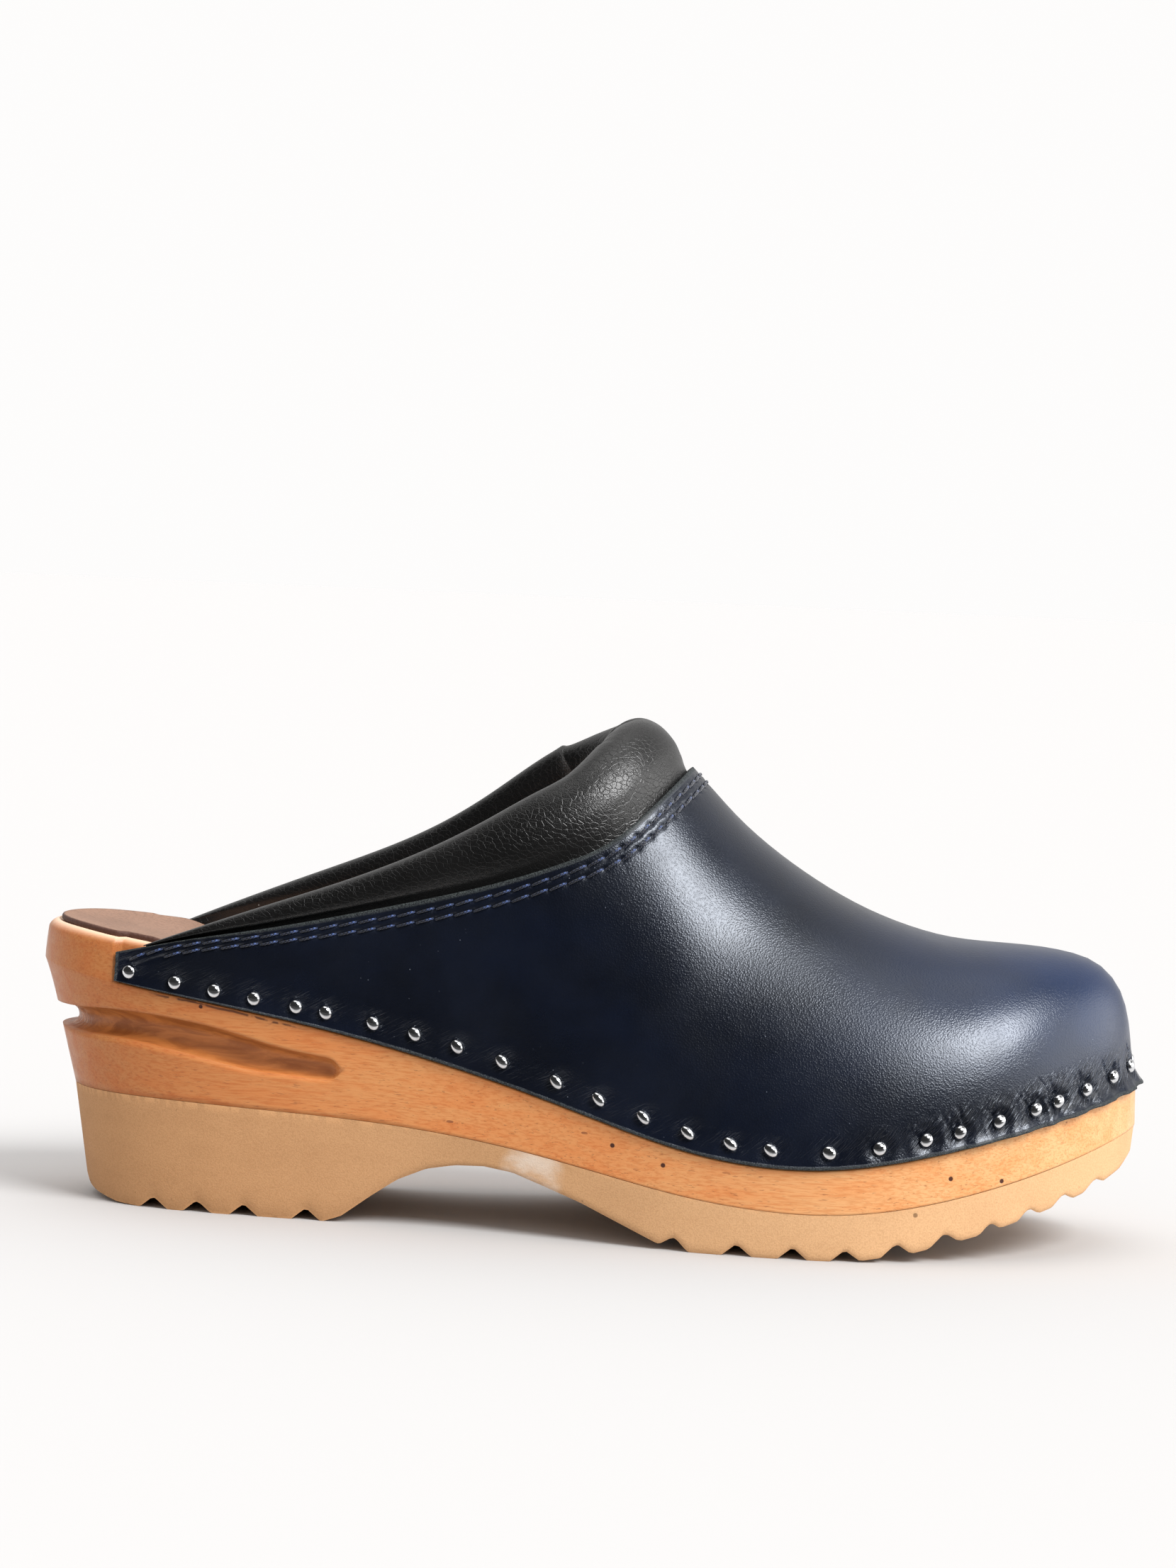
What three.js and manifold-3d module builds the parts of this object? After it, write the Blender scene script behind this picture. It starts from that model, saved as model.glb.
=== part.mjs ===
// A right-foot wooden clog: a wooden sole on a moulded outsole, a leather sock on its footbed, and a
// vamp of navy leather tacked round the sole, with a padded black collar sewn behind its top edge.
// Millimetres. +X runs from heel to toe, +Z is up, and the outer (lateral) side of the foot is at -Y.
import * as THREE from "three";
import { mergeVertices } from "three/addons/utils/BufferGeometryUtils.js";
import Module from "manifold-3d";

const wasm = await Module();
wasm.setup();

// ---------------------------------------------------------------- driving dimensions
const LENGTH = 268; // wooden sole, heel to toe
const DRAWN_LENGTH = 268; // length at which the distances from the heel below hold
const STRETCH = LENGTH / DRAWN_LENGTH;
const BALL_WIDTH = 97; // wooden sole, across its widest part
const GAP = 0.3; // between pieces that lie against each other
const LEATHER = 2.0; // vamp thickness
const PROUD = 0.6; // how far the vamp stands out of the wood it is let into
const TOE_TUCK = 1.3; // how far the vamp's toe wall stands back from the wood's toe
const EDGE_FLARE = 1.0; // how far the vamp's cut edge curls out at the toe
const TAIL = 21 * STRETCH; // the vamp's rear ends, from the heel
const THROAT = 156.5 * STRETCH; // the front of the foot opening, from the heel
const NAIL_BAND = 8; // height of wood behind the nailed edge
const LEDGE_ROOM = 0.55; // between the vamp's cut edge and the ledge under it
const SOCK = 1.3; // sock leather thickness
const SOCK_MARGIN = 1.2; // bare wood between the sock and the rim
const COVER = 1.2; // collar leather thickness
const FLANGE = 7; // collar leather sewn behind the vamp
const COLLAR_START = 38 * STRETCH; // the collar's rear ends, from the heel
const FOAM_START = 60 * STRETCH; // the padding's rear ends, from the heel
const MEDIAL_RISE = 2; // extra height of the opening's inner side
const THREAD = 0.8; // sewing thread diameter
const SEAM_ROWS = [2.6, 5.0]; // thread rows, below the vamp's top edge
const ROW_STARTS = [29 * STRETCH, 37 * STRETCH]; // the rows' rear ends, from the heel
const TACK_HEAD = 3.5; // head diameter
const TACK_DOME = 1.1; // head height
const TACK_SHANK = 1.4; // shank diameter
const TACK_LENGTH = 7; // shank below the head
const TACK_COUNT = 50;
const NOTCH_DEPTH = 2.5; // V cuts across the tread
const NOTCH_WIDTH = 7;
const GROOVE_HEIGHT = 5.6; // slot round the back of the heel
const GROOVE_DEPTH = 4.6;
const GROOVE_REACH = 76.4 * STRETCH; // where the slot runs out along both sides, from the heel
const HEEL_CORNER = 4; // how far the outsole leans in from the wood to the tread, at the heel
const FOREPART_CORNER = 0.6; // the same, ahead of the heel
const TREAD_ROUNDING = 1.2; // height of the rounded edge under the outsole
const RIM_BEVEL = 1.8; // rounding of the wood's rim, plan and height
const WEB = 0.5; // flat width at the bottom of a V cut

// ---------------------------------------------------------------- lines of the clog
// Each line is a list of [percent of the length, millimetres].
const AXIS = [[0, 0], [40, 0.6], [75, 2.2], [100, 4]]; // the foot's centre line in plan
const OUTER_HALF = [
  [1.5, 14], [4.5, 23], [9.3, 29.5], [16.8, 32.8], [28, 33.6], [37.3, 35.8], [48.5, 41.6],
  [59.7, 48.2], [68, 51.2], [75, 51.1], [82.1, 47.4], [89.6, 38.7], [95.1, 26.6], [98.5, 14.4],
];
const INNER_HALF = [
  [1.5, 14], [4.5, 23], [9.3, 29.3], [16.8, 31.8], [28, 31.6], [37.3, 31.9], [48.5, 35.2],
  [59.7, 41], [68, 44.6], [75, 45.2], [82.1, 42.8], [89.6, 35.9], [95.1, 25.6], [98.5, 14.2],
];
const TREAD = [
  [3.4, 5.5], [5.9, 3.8], [8, 1.1], [10.3, 0], [27.4, 0], [29, 1.5], [31.5, 6.6], [34, 11.3],
  [36.6, 14.4], [39.2, 15.8], [41.8, 16.1], [44.4, 15.2], [47.4, 12.5], [50.7, 9.4], [54.1, 5.5],
  [57.5, 1.6], [60, 0], [74.6, 0], [80.2, 2.6], [85.8, 6.6], [91.8, 12], [96, 16], [98.5, 19.5],
  [100, 24],
];
const JOINT = [
  [0, 27.8], [10, 27.5], [22, 26.2], [31, 24.9], [39, 22.9], [46, 20.2], [53, 16.6], [60, 13.1],
  [66, 11.3], [72, 10.9], [78, 12.4], [84, 15.7], [90, 20.2], [95, 24.6], [100, 29.4],
];
const SIDE = [
  [0, 31], [8, 27.9], [23.5, 22.8], [36, 17.9], [49, 13.6], [60, 11.1], [68, 10.7], [80, 11.8],
  [92, 11.6], [100, 10.8],
];
const HEEL_RIM = [[0, 67.6], [3.5, 67], [6.5, 66.1], [10.5, 64.9]];
const CROWN = [
  [0, 84], [8, 86], [22, 92], [37, 99], [45, 100.5], [52, 95.5], [58.4, 87], [62.7, 77.6],
  [66.8, 69.8], [70.6, 63.4], [74.6, 57], [78.7, 51.1], [82.5, 46.4], [86.6, 42.7], [90.3, 39.6],
  [94, 35.5], [96.3, 31.6], [98, 26.4], [99.2, 19.2],
];
const SEAM = [
  [7.8, 62.3], [14, 66.3], [21, 69.9], [28, 74], [35, 78.6], [42, 83.9], [48, 89.8],
  [52.5, 96.4], [56, 105.6], [58.4, 112.5],
];
const FOOT_INSET = [
  [0, 7.6], [6, 5.4], [14, 4.2], [28, 3.2], [45, 1.8], [60, 1], [85, 0.6], [100, -0.3],
];
const CUP = [[10, 2.4], [30, 3], [60, 3.5], [85, 2.8]]; // hollow of the footbed
const FULLNESS = [
  [0, 2.6], [40, 2.6], [52, 2.3], [60, 2.08], [70, 2.15], [85, 2.5], [100, 2.6],
]; // power of the upper's section in plan: higher is squarer
const SHOULDER = [
  [0, 1.9], [40, 1.9], [52, 1.7], [60, 1.55], [70, 1.65], [85, 2.0], [100, 2.1],
]; // power of its height
const SLOT_LINE = [[0, 45.2], [8, 44.8], [16, 42.4], [24, 38.6], [29, 37.3]]; // middle of the slot
const NAIL_LINE = [[7, 2.9], [18, 3], [35, 4.8], [52, 5], [72, 3.9], [100, 4.6]];
const COLLAR_HEIGHT = [
  [14, 2], [21.3, 5.4], [28.8, 8.2], [35, 11.2], [41.8, 14.9], [47, 17], [51, 18], [58.4, 18.8],
];
const COLLAR_WIDTH = [
  [14, 6], [17, 6.2], [25, 7.2], [33, 8.2], [42, 9.4], [50, 11.4], [58.4, 13.5],
];
const OUTER_TACKS = [
  9.1, 13.4, 17, 20.6, 24.4, 27.1, 31.4, 35.2, 39.1, 43.2, 48.2, 52.1, 56.2, 60.2, 64, 67.5, 72.5,
  76.8, 80.8, 83.7, 87.1, 90.3, 92.3, 94.9,
]; // percent of the length, as hand-set along the outer side
const HEEL_NOTCHES = [11.7, 15.8, 20.1, 25.8]; // percent of the length
const FORE_NOTCHES = [59.1, 64.6, 69.5, 74.1, 78.5, 82.7, 86.7, 90.1, 93.2, 96.1];

// ---------------------------------------------------------------- curves
/** Natural cubic spline through [x, y] points: the slope and the bend both run on smoothly. */
function spline(points) {
  const n = points.length - 1;
  const bend = new Array(n + 1).fill(0);
  const weight = new Array(n + 1).fill(0);
  for (let i = 1; i < n; i++) {
    const [xa, ya] = points[i - 1];
    const [xb, yb] = points[i];
    const [xc, yc] = points[i + 1];
    const share = (xb - xa) / (xc - xa);
    const pivot = share * bend[i - 1] + 2;
    const turn = (yc - yb) / (xc - xb) - (yb - ya) / (xb - xa);
    bend[i] = (share - 1) / pivot;
    weight[i] = ((6 * turn) / (xc - xa) - share * weight[i - 1]) / pivot;
  }
  for (let i = n - 1; i > 0; i--) bend[i] = bend[i] * bend[i + 1] + weight[i];
  bend[0] = 0;
  return (x) => {
    let k = 0;
    while (k < n - 1 && x > points[k + 1][0]) k++;
    const [xa, ya] = points[k];
    const [xb, yb] = points[k + 1];
    const h = xb - xa;
    if (x < xa || x > xb) {
      const start = x < xa;
      const slope = start
        ? (yb - ya) / h - (h / 6) * (2 * bend[k] + bend[k + 1])
        : (yb - ya) / h + (h / 6) * (bend[k] + 2 * bend[k + 1]);
      return start ? ya + slope * (x - xa) : yb + slope * (x - xb);
    }
    const a = (xb - x) / h;
    const b = 1 - a;
    return a * ya + b * yb + (((a ** 3 - a) * bend[k] + (b ** 3 - b) * bend[k + 1]) * h * h) / 6;
  };
}

/** Straight pieces between [x, y] points, level before the first and after the last. */
function polyline(points) {
  return (x) => {
    const k = points.findIndex((p) => p[0] >= x);
    if (k === 0) return points[0][1];
    if (k < 0) return points[points.length - 1][1];
    const [xa, ya] = points[k - 1];
    const [xb, yb] = points[k];
    return ya + ((yb - ya) * (x - xa)) / (xb - xa);
  };
}

/** Turning angle that a share of the length stands at: round ends come out round. */
const turnOf = (share) => Math.acos(1 - 2 * THREE.MathUtils.clamp(share, 0, 1));
const shareOf = (turn) => (1 - Math.cos(turn)) / 2;

/** Height or inset along the clog, in mm, from a line's list, as a function of x. */
function along(line) {
  const curve = spline(line.map(([percent, value]) => [percent / 100, value]));
  return (x) => curve(x / LENGTH);
}

/** A line that falls to nothing at both round ends, or only at the toe, as a function of the turn. */
function rounded(line, atHeel = [[0, 0]]) {
  const inner = line.map(([percent, value]) => [turnOf(percent / 100), value]);
  return spline([...atHeel, ...inner, [Math.PI, 0]]);
}

const DRAWN_WIDTH = 97; // ball width at which the half widths above hold
const WIDTH_SCALE = BALL_WIDTH / DRAWN_WIDTH;
const axis = along(AXIS);
const joint = along(JOINT);
const side = along(SIDE);
const treadLine = polyline(TREAD.map(([percent, value]) => [(percent * LENGTH) / 100, value]));
const heelRim = along(HEEL_RIM);
const seamLine = along(SEAM);
const footInset = along(FOOT_INSET);
const cupByTurn = rounded(CUP);
const fullness = along(FULLNESS);
const shoulder = along(SHOULDER);
const nailLine = along(NAIL_LINE);
const collarHeight = along(COLLAR_HEIGHT);
const collarWidth = along(COLLAR_WIDTH);
const slotLine = along(SLOT_LINE);
const crownByTurn = rounded(CROWN.slice(1), [[0, CROWN[0][1]]]);
const halfByTurn = { outer: rounded(OUTER_HALF), inner: rounded(INNER_HALF) };

/** Height of the vamp's lower edge, which runs along a ledge in the wood. */
const ledge = (x) => joint(x) + side(x);

/** Height of the wood's rim: the heel stands up behind the vamp, and a low band runs behind it. */
function rim(x) {
  const from = 0.105 * LENGTH;
  const to = 0.16 * LENGTH;
  const blend = THREE.MathUtils.smoothstep(x, from, to);
  return (1 - blend) * heelRim(Math.min(x, to)) + blend * (ledge(x) + NAIL_BAND);
}

/** Point of the wood's outline in plan, moved inwards along its own normal. */
function outline(turn, sign, inset) {
  const half = sign < 0 ? halfByTurn.outer : halfByTurn.inner;
  const at = (a) => {
    const x = LENGTH * shareOf(a);
    return new THREE.Vector2(x, axis(x) + sign * WIDTH_SCALE * half(a));
  };
  const step = 1e-3;
  const from = at(Math.max(turn - step, 0));
  const to = at(Math.min(turn + step, Math.PI));
  const tangent = to.sub(from).normalize();
  if (turn < step) tangent.set(0, sign);
  if (turn > Math.PI - step) tangent.set(0, -sign);
  const outward = new THREE.Vector2(-tangent.y * sign, tangent.x * sign);
  return at(turn).addScaledVector(outward, -inset);
}

// ---------------------------------------------------------------- solids
/** Collects triangles between points and turns them into one closed geometry. */
class Skin {
  constructor() {
    this.corners = [];
  }
  triangle(a, b, c) {
    for (const p of [a, b, c]) this.corners.push(p.x, p.y, p.z);
  }
  quad(a, b, c, d) {
    this.triangle(a, b, c);
    this.triangle(a, c, d);
  }
  /** Quads between rows of points; flip turns the faces over. */
  sheet(rows, flip = false) {
    for (let i = 0; i + 1 < rows.length; i++) {
      for (let j = 0; j + 1 < rows[i].length; j++) {
        const square = [rows[i][j], rows[i + 1][j], rows[i + 1][j + 1], rows[i][j + 1]];
        if (flip) square.reverse();
        this.quad(...square);
      }
    }
  }
  geometry() {
    const soup = new THREE.BufferGeometry();
    soup.setAttribute("position", new THREE.Float32BufferAttribute(this.corners, 3));
    return soup;
  }
}

/** Closed solid between two sheets of points with the same rows, such as a skin and its back. */
function shell(front, back) {
  const skin = new Skin();
  skin.sheet(front);
  skin.sheet(back, true);
  const last = front.length - 1;
  const end = front[0].length - 1;
  const column = (rows, j) => rows.map((row) => row[j]);
  skin.sheet([back[0], front[0]]);
  skin.sheet([front[last], back[last]]);
  skin.sheet([column(front, 0), column(back, 0)]);
  skin.sheet([column(front, end), column(back, end)], true);
  return skin.geometry();
}

/** Solid through a row of closed loops; an end loop that has an area is closed by a fan. */
function tube(loops, fanEnds) {
  const skin = new Skin();
  skin.sheet(loops.map((loop) => [...loop, loop[0]]));
  if (fanEnds) {
    const close = (loop, flip) => {
      const middle = new THREE.Vector3();
      loop.forEach((p) => middle.addScaledVector(p, 1 / loop.length));
      loop.forEach((p, k) => {
        const q = loop[(k + 1) % loop.length];
        if (flip) skin.triangle(q, p, middle);
        else skin.triangle(p, q, middle);
      });
    };
    close(loops[0], false);
    close(loops[loops.length - 1], true);
  }
  return skin.geometry();
}

/** Geometry to a manifold solid, with doubled corners merged and thin triangles left out. */
function toSolid(geometry) {
  const bare = geometry.clone();
  bare.deleteAttribute("normal");
  bare.deleteAttribute("uv");
  const merged = mergeVertices(bare, 1e-4);
  const index = merged.index.array;
  const kept = [];
  for (let i = 0; i < index.length; i += 3) {
    const [a, b, c] = index.slice(i, i + 3);
    if (a !== b && b !== c && a !== c) kept.push(a, b, c);
  }
  const build = (order) =>
    new wasm.Manifold(
      new wasm.Mesh({
        numProp: 3,
        vertProperties: new Float32Array(merged.attributes.position.array),
        triVerts: new Uint32Array(order),
      }),
    );
  const solid = build(kept);
  return solid.volume() > 0 ? solid : build(kept.reverse());
}

/** Manifold solid back to a geometry with flat faces. */
function toGeometry(solid) {
  const mesh = solid.getMesh();
  const indexed = new THREE.BufferGeometry();
  indexed.setAttribute("position", new THREE.BufferAttribute(mesh.vertProperties, 3));
  indexed.setIndex(new THREE.BufferAttribute(mesh.triVerts, 1));
  const flat = indexed.toNonIndexed();
  flat.computeVertexNormals();
  return flat;
}

/** What is left of a solid after each cutter has been taken out of it. */
function cut(solid, cutters) {
  return cutters.reduce((rest, cutter) => rest.subtract(cutter), solid);
}

const evenly = (count, from, to) =>
  Array.from({ length: count + 1 }, (_, i) => from + ((to - from) * i) / count);

// ---------------------------------------------------------------- wooden sole
const SEAT = LEATHER - PROUD + GAP; // depth of the ledge that the vamp stands on
const BAND_LEAN = 0.6; // how much further the wood leans in behind the vamp
const HEEL_SWELL = 1.2; // how far the heel's top stands out over its waist
const FOOTBED_SHARES = [0, 0.06, 0.2, 0.4, 0.6, 0.8, 0.94, 1]; // places across the footbed

/** Depth of the wood's face behind the vamp, none behind the vamp's rear ends. */
function seatInset(x) {
  const toeShare = THREE.MathUtils.smoothstep(x, 0.9 * LENGTH, LENGTH);
  return x < TAIL - GAP ? 0 : SEAT + toeShare * (TOE_TUCK + PROUD);
}

/** The band behind the vamp leans in a little more, as the leather over it does. */
const leanBehind = (x) => (x < TAIL - GAP ? 0 : BAND_LEAN);
const rimInset = (x) => seatInset(x) + leanBehind(x) + RIM_BEVEL;

/** Height of the hollowed footbed, from how far across it a point lies (0 outer, 1 inner side). */
function footbed(x, turn, across) {
  const hollow = 1 - Math.abs(2 * across - 1) ** 3;
  return rim(x) - cupByTurn(turn) * hollow;
}

/** Lean of the wood's side: it stands in towards the outsole and swells at mid height. */
function sideInset(x, share) {
  const heel = THREE.MathUtils.smoothstep(0.12 * LENGTH - x, 0, 0.12 * LENGTH);
  return footInset(x) * (1 - share) ** 1.1 - heel * HEEL_SWELL * share ** 6;
}

/** One cross loop of the wood: up the inner side, over the footbed, down the outer side. */
function woodLoop(turn, step) {
  const level = (sign, inset, height) => {
    const p = outline(turn, sign, inset(LENGTH * shareOf(turn)));
    return new THREE.Vector3(p.x, p.y, height(p.x));
  };
  const behind = (x) => (step < 0 ? 0 : seatInset(x));
  const lean = (x) => (step < 0 ? 0 : leanBehind(x));
  const wall = (sign) => [
    level(sign, (x) => sideInset(x, 0), (x) => joint(x) + GAP / 2),
    level(sign, (x) => sideInset(x, 0.3), (x) => joint(x) + 0.3 * side(x)),
    level(sign, (x) => sideInset(x, 0.65), (x) => joint(x) + 0.65 * side(x)),
    level(sign, (x) => sideInset(x, 0.97), (x) => ledge(x) - LEDGE_ROOM),
    level(sign, (x) => sideInset(x, 1) + behind(x), (x) => ledge(x) - LEDGE_ROOM + 0.05),
    level(sign, (x) => behind(x) + lean(x) + 0.4, (x) => rim(x) - RIM_BEVEL),
    level(sign, (x) => behind(x) + lean(x) + RIM_BEVEL, rim),
  ];
  const inner = wall(1);
  const outer = wall(-1);
  const from = inner[inner.length - 1];
  const to = outer[outer.length - 1];
  const bed = FOOTBED_SHARES.slice(1, -1).map((share) => {
    const p = from.clone().lerp(to, share);
    p.z = footbed(p.x, turn, 1 - share);
    return p;
  });
  return [...inner, ...bed, ...outer.reverse()];
}

/** Slot round the back of the heel, deepest at the back and running out along both sides. */
function heelGroove() {
  const roundFrom = 0.93; // share of the run past which the slot closes in its round end
  const outside = 6; // how far the cutter stands out of the wood
  const loops = evenly(28, -1, 1).map((s) => {
    const run = Math.abs(s);
    const turn = run * turnOf(GROOVE_REACH / LENGTH);
    const sign = s < 0 ? -1 : 1;
    const x = LENGTH * shareOf(turn);
    const depth = GROOVE_DEPTH * (1 - 0.5 * run ** 2) * (run > roundFrom ? 0.75 : 1);
    const half = (GROOVE_HEIGHT / 2) * (run > roundFrom ? 0.6 : 1);
    const z = slotLine(x);
    const lean = sideInset(x, (z - joint(x)) / side(x));
    const corner = (inset, height) => {
      const p = outline(turn, sign, lean + inset);
      return new THREE.Vector3(p.x, p.y, z + height);
    };
    return [
      corner(-outside, half + 1.2), corner(0.4, half), corner(depth * 0.8, half * 0.7),
      corner(depth, 0), corner(depth * 0.8, -half * 0.75), corner(0.4, -half),
      corner(-outside, -half - 1.2),
    ];
  });
  return toSolid(tube(loops, true));
}

function woodenSole(tacks) {
  const tailTurn = turnOf((TAIL - GAP) / LENGTH);
  const before = evenly(6, 0, tailTurn - 0.004);
  const after = evenly(38, tailTurn + 0.004, Math.PI);
  const loops = [
    ...before.map((turn) => woodLoop(turn, -1)),
    ...after.map((turn) => woodLoop(turn, 1)),
  ];
  const block = cut(toSolid(tube(loops, false)), [heelGroove()]);
  return toGeometry(cut(block, tacks.map(shankHole)));
}

// ---------------------------------------------------------------- outsole
/** One cross loop of the outsole: its wall leans in to the tread, with a rounded edge below. */
function outsoleLoop(turn) {
  const level = (sign, share) => {
    const near = outline(turn, sign, footInset(LENGTH * shareOf(turn)));
    const heel = THREE.MathUtils.smoothstep(0.35 * LENGTH - near.x, 0, 0.3 * LENGTH);
    const lean = (FOREPART_CORNER + heel * (HEEL_CORNER - FOREPART_CORNER)) * share;
    const p = outline(turn, sign, footInset(near.x) + lean + (share === 1 ? 0.7 : 0));
    const top = joint(p.x) - GAP / 2;
    const foot = treadLine(p.x) + (share === 1 ? 0 : TREAD_ROUNDING);
    return new THREE.Vector3(p.x, p.y, share === 0 ? top : foot);
  };
  const shares = [0, 0.95, 1];
  const wall = (sign) => shares.map((share) => level(sign, share));
  return [...wall(1), ...wall(-1).reverse()];
}

/** V-shaped bar that cuts one notch across the tread, square to the tread's slope there. */
function notchBar(percent) {
  const x = (percent * LENGTH) / 100;
  const reach = NOTCH_WIDTH / 2;
  const slope = Math.atan2(treadLine(x + reach) - treadLine(x - reach), 2 * reach);
  const vee = new THREE.Shape([
    new THREE.Vector2(-reach * 1.4, -NOTCH_DEPTH * 0.4),
    new THREE.Vector2(reach * 1.4, -NOTCH_DEPTH * 0.4),
    new THREE.Vector2(WEB / 2, NOTCH_DEPTH),
    new THREE.Vector2(-WEB / 2, NOTCH_DEPTH),
  ]);
  const bar = new THREE.ExtrudeGeometry(vee, { depth: 2 * BALL_WIDTH, bevelEnabled: false });
  bar.translate(0, 0, -BALL_WIDTH);
  bar.rotateX(Math.PI / 2);
  bar.rotateY(-slope);
  bar.translate(x, 0, (treadLine(x - reach) + treadLine(x + reach)) / 2);
  return toSolid(bar);
}

function outsole() {
  const loops = evenly(56, 0, Math.PI).map(outsoleLoop);
  const bars = [...HEEL_NOTCHES, ...FORE_NOTCHES].map(notchBar);
  return toGeometry(cut(toSolid(tube(loops, false)), bars));
}

// ---------------------------------------------------------------- sock
function insoleSock() {
  const rows = (lift) =>
    evenly(28, 0, Math.PI).map((turn) => {
      const edge = (sign) => {
        const inset = rimInset(LENGTH * shareOf(turn)) + SOCK_MARGIN;
        return outline(turn, sign, inset);
      };
      const from = edge(1);
      const to = edge(-1);
      return FOOTBED_SHARES.map((share) => {
        const p = from.clone().lerp(to, share);
        return new THREE.Vector3(p.x, p.y, footbed(p.x, turn, 1 - share) + lift);
      });
    });
  return toGeometry(toSolid(shell(rows(GAP + SOCK), rows(GAP))));
}

// ---------------------------------------------------------------- upper
const WALL_LENGTH = LENGTH - TOE_TUCK; // heel to the vamp's toe wall
const TAIL_TURN = turnOf(TAIL / WALL_LENGTH);

/** Half width of the upper at its lower edge. */
function upperHalf(turn, sign) {
  const half = sign < 0 ? halfByTurn.outer : halfByTurn.inner;
  const toe = THREE.MathUtils.smoothstep(turn, 0.75 * Math.PI, Math.PI);
  return WIDTH_SCALE * half(turn) + PROUD * (1 - toe) * Math.min(1, 4 * Math.sin(turn));
}

/** Height of the upper's outer surface over a point of the plan. */
function domeHeight(x, y) {
  const turn = turnOf(x / WALL_LENGTH);
  const offset = y - axis(x);
  const half = Math.max(1e-6, upperHalf(turn, offset < 0 ? -1 : 1));
  const across = Math.min(1, Math.abs(offset) / half);
  const dome = Math.max(0, 1 - across ** fullness(x)) ** (1 / shoulder(x));
  return ledge(x) + crownByTurn(turn) * dome;
}

/** Point of the seam that ends the vamp; place runs -1 outer tail, 0 throat, 1 inner tail. */
function seamPoint(place) {
  const sign = place < 0 ? -1 : 1;
  const x = TAIL + (THROAT - TAIL) * Math.cos((Math.PI / 2) * Math.abs(place) ** 1.4);
  const turn = turnOf(x / WALL_LENGTH);
  const rise = place > 0 ? MEDIAL_RISE * Math.sin((Math.PI * (x - TAIL)) / (THROAT - TAIL)) : 0;
  const ease = seamLine(THROAT) - (ledge(THROAT) + crownByTurn(turnOf(THROAT / WALL_LENGTH)));
  const share = (x - TAIL) / (THROAT - TAIL);
  const height = seamLine(x) + rise - ease * share ** 6 - ledge(x);
  const dome = Math.min(1, height / crownByTurn(turn));
  const across = Math.max(0, 1 - dome ** shoulder(x)) ** (1 / fullness(x));
  return new THREE.Vector2(x, axis(x) + sign * across * upperHalf(turn, sign));
}

/** Point of the vamp's lower edge in plan, with the direction that faces out there. */
function basePoint(place) {
  const sign = place < 0 ? -1 : 1;
  const turn = Math.PI - (Math.PI - TAIL_TURN) * Math.abs(place);
  const at = (a) => {
    const x = WALL_LENGTH * shareOf(a);
    return new THREE.Vector2(x, axis(x) + sign * upperHalf(a, sign));
  };
  const ahead = at(Math.min(turn + 1e-3, Math.PI)).sub(at(turn - 1e-3));
  const outward = new THREE.Vector2(-ahead.y * sign, ahead.x * sign).normalize();
  if (Math.abs(place) < 1e-6) outward.set(1, 0);
  return { point: at(turn), outward };
}

/** The vamp's outer surface from lower edge to seam at one place, as a finely stepped line. */
function columnLine(place) {
  const { point, outward } = basePoint(place);
  const top = seamPoint(place);
  const steps = 160;
  const line = [];
  let length = 0;
  for (let k = 0; k <= steps; k++) {
    const share = 1 - Math.cos((Math.PI / 2) * (k / steps));
    const plan = point.clone().lerp(top, share ** 1.5);
    const p = new THREE.Vector3(plan.x, plan.y, domeHeight(plan.x, plan.y));
    if (k > 0) length += p.distanceTo(line[k - 1].raw);
    const toe = THREE.MathUtils.smoothstep(point.x, 0.7 * LENGTH, LENGTH);
    const flare = EDGE_FLARE * (0.3 + (1 + TOE_TUCK) * toe) * Math.exp(-length / 2.5);
    const shown = p.clone();
    shown.x += outward.x * flare;
    shown.y += outward.y * flare;
    line.push({ raw: p, shown, length });
  }
  return { line, length };
}

/** Point at a distance up the column from the lower edge, on the shown or the uncurled surface. */
function pointOn({ line }, distance, surface = "shown") {
  const found = line.findIndex((q) => q.length >= distance);
  const k = found < 0 ? line.length - 1 : Math.max(1, found);
  const a = line[k - 1];
  const b = line[k];
  const share = THREE.MathUtils.clamp((distance - a.length) / (b.length - a.length), 0, 1);
  return a[surface].clone().lerp(b[surface], share);
}

/** Outward normal of the vamp, before its edge curls, at a place and a share of the way up. */
function upperNormal(place, share) {
  const step = 0.004;
  const at = (s, f) => {
    const column = columnLine(THREE.MathUtils.clamp(s, -1, 1));
    return pointOn(column, column.length * THREE.MathUtils.clamp(f, 0, 1), "raw");
  };
  const ahead = at(place + step, share).sub(at(place - step, share));
  const up = at(place, share + 0.02).sub(at(place, share - 0.02));
  return ahead.cross(up).normalize();
}

/** Distances up a column at which the vamp has its rows: close over the nailed band, then wider. */
function rowDistances(length) {
  const band = Math.min(8, 0.45 * length);
  const low = [0, 0.3, 0.6, 1].map((share) => share * band);
  const high = [0.13, 0.25, 0.42, 0.66, 0.9, 1].map((share) => band + share * (length - band));
  return [...low, ...high];
}

function vamp(tacks) {
  const front = [];
  const back = [];
  for (const place of evenly(52, -1, 1)) {
    const column = columnLine(place);
    const distances = rowDistances(column.length);
    const inwards = (d) => upperNormal(place, d / column.length).multiplyScalar(-LEATHER);
    front.push(distances.map((d) => pointOn(column, d)));
    back.push(distances.map((d) => pointOn(column, d).add(inwards(d))));
  }
  return toGeometry(cut(toSolid(shell(front, back)), tacks.map(shankHole)));
}

// ---------------------------------------------------------------- tacks
/** Place along the vamp's edge, outer side, at a distance x from the heel. */
const edgePlace = (x) => -(Math.PI - turnOf(x / WALL_LENGTH)) / (Math.PI - TAIL_TURN);

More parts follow.
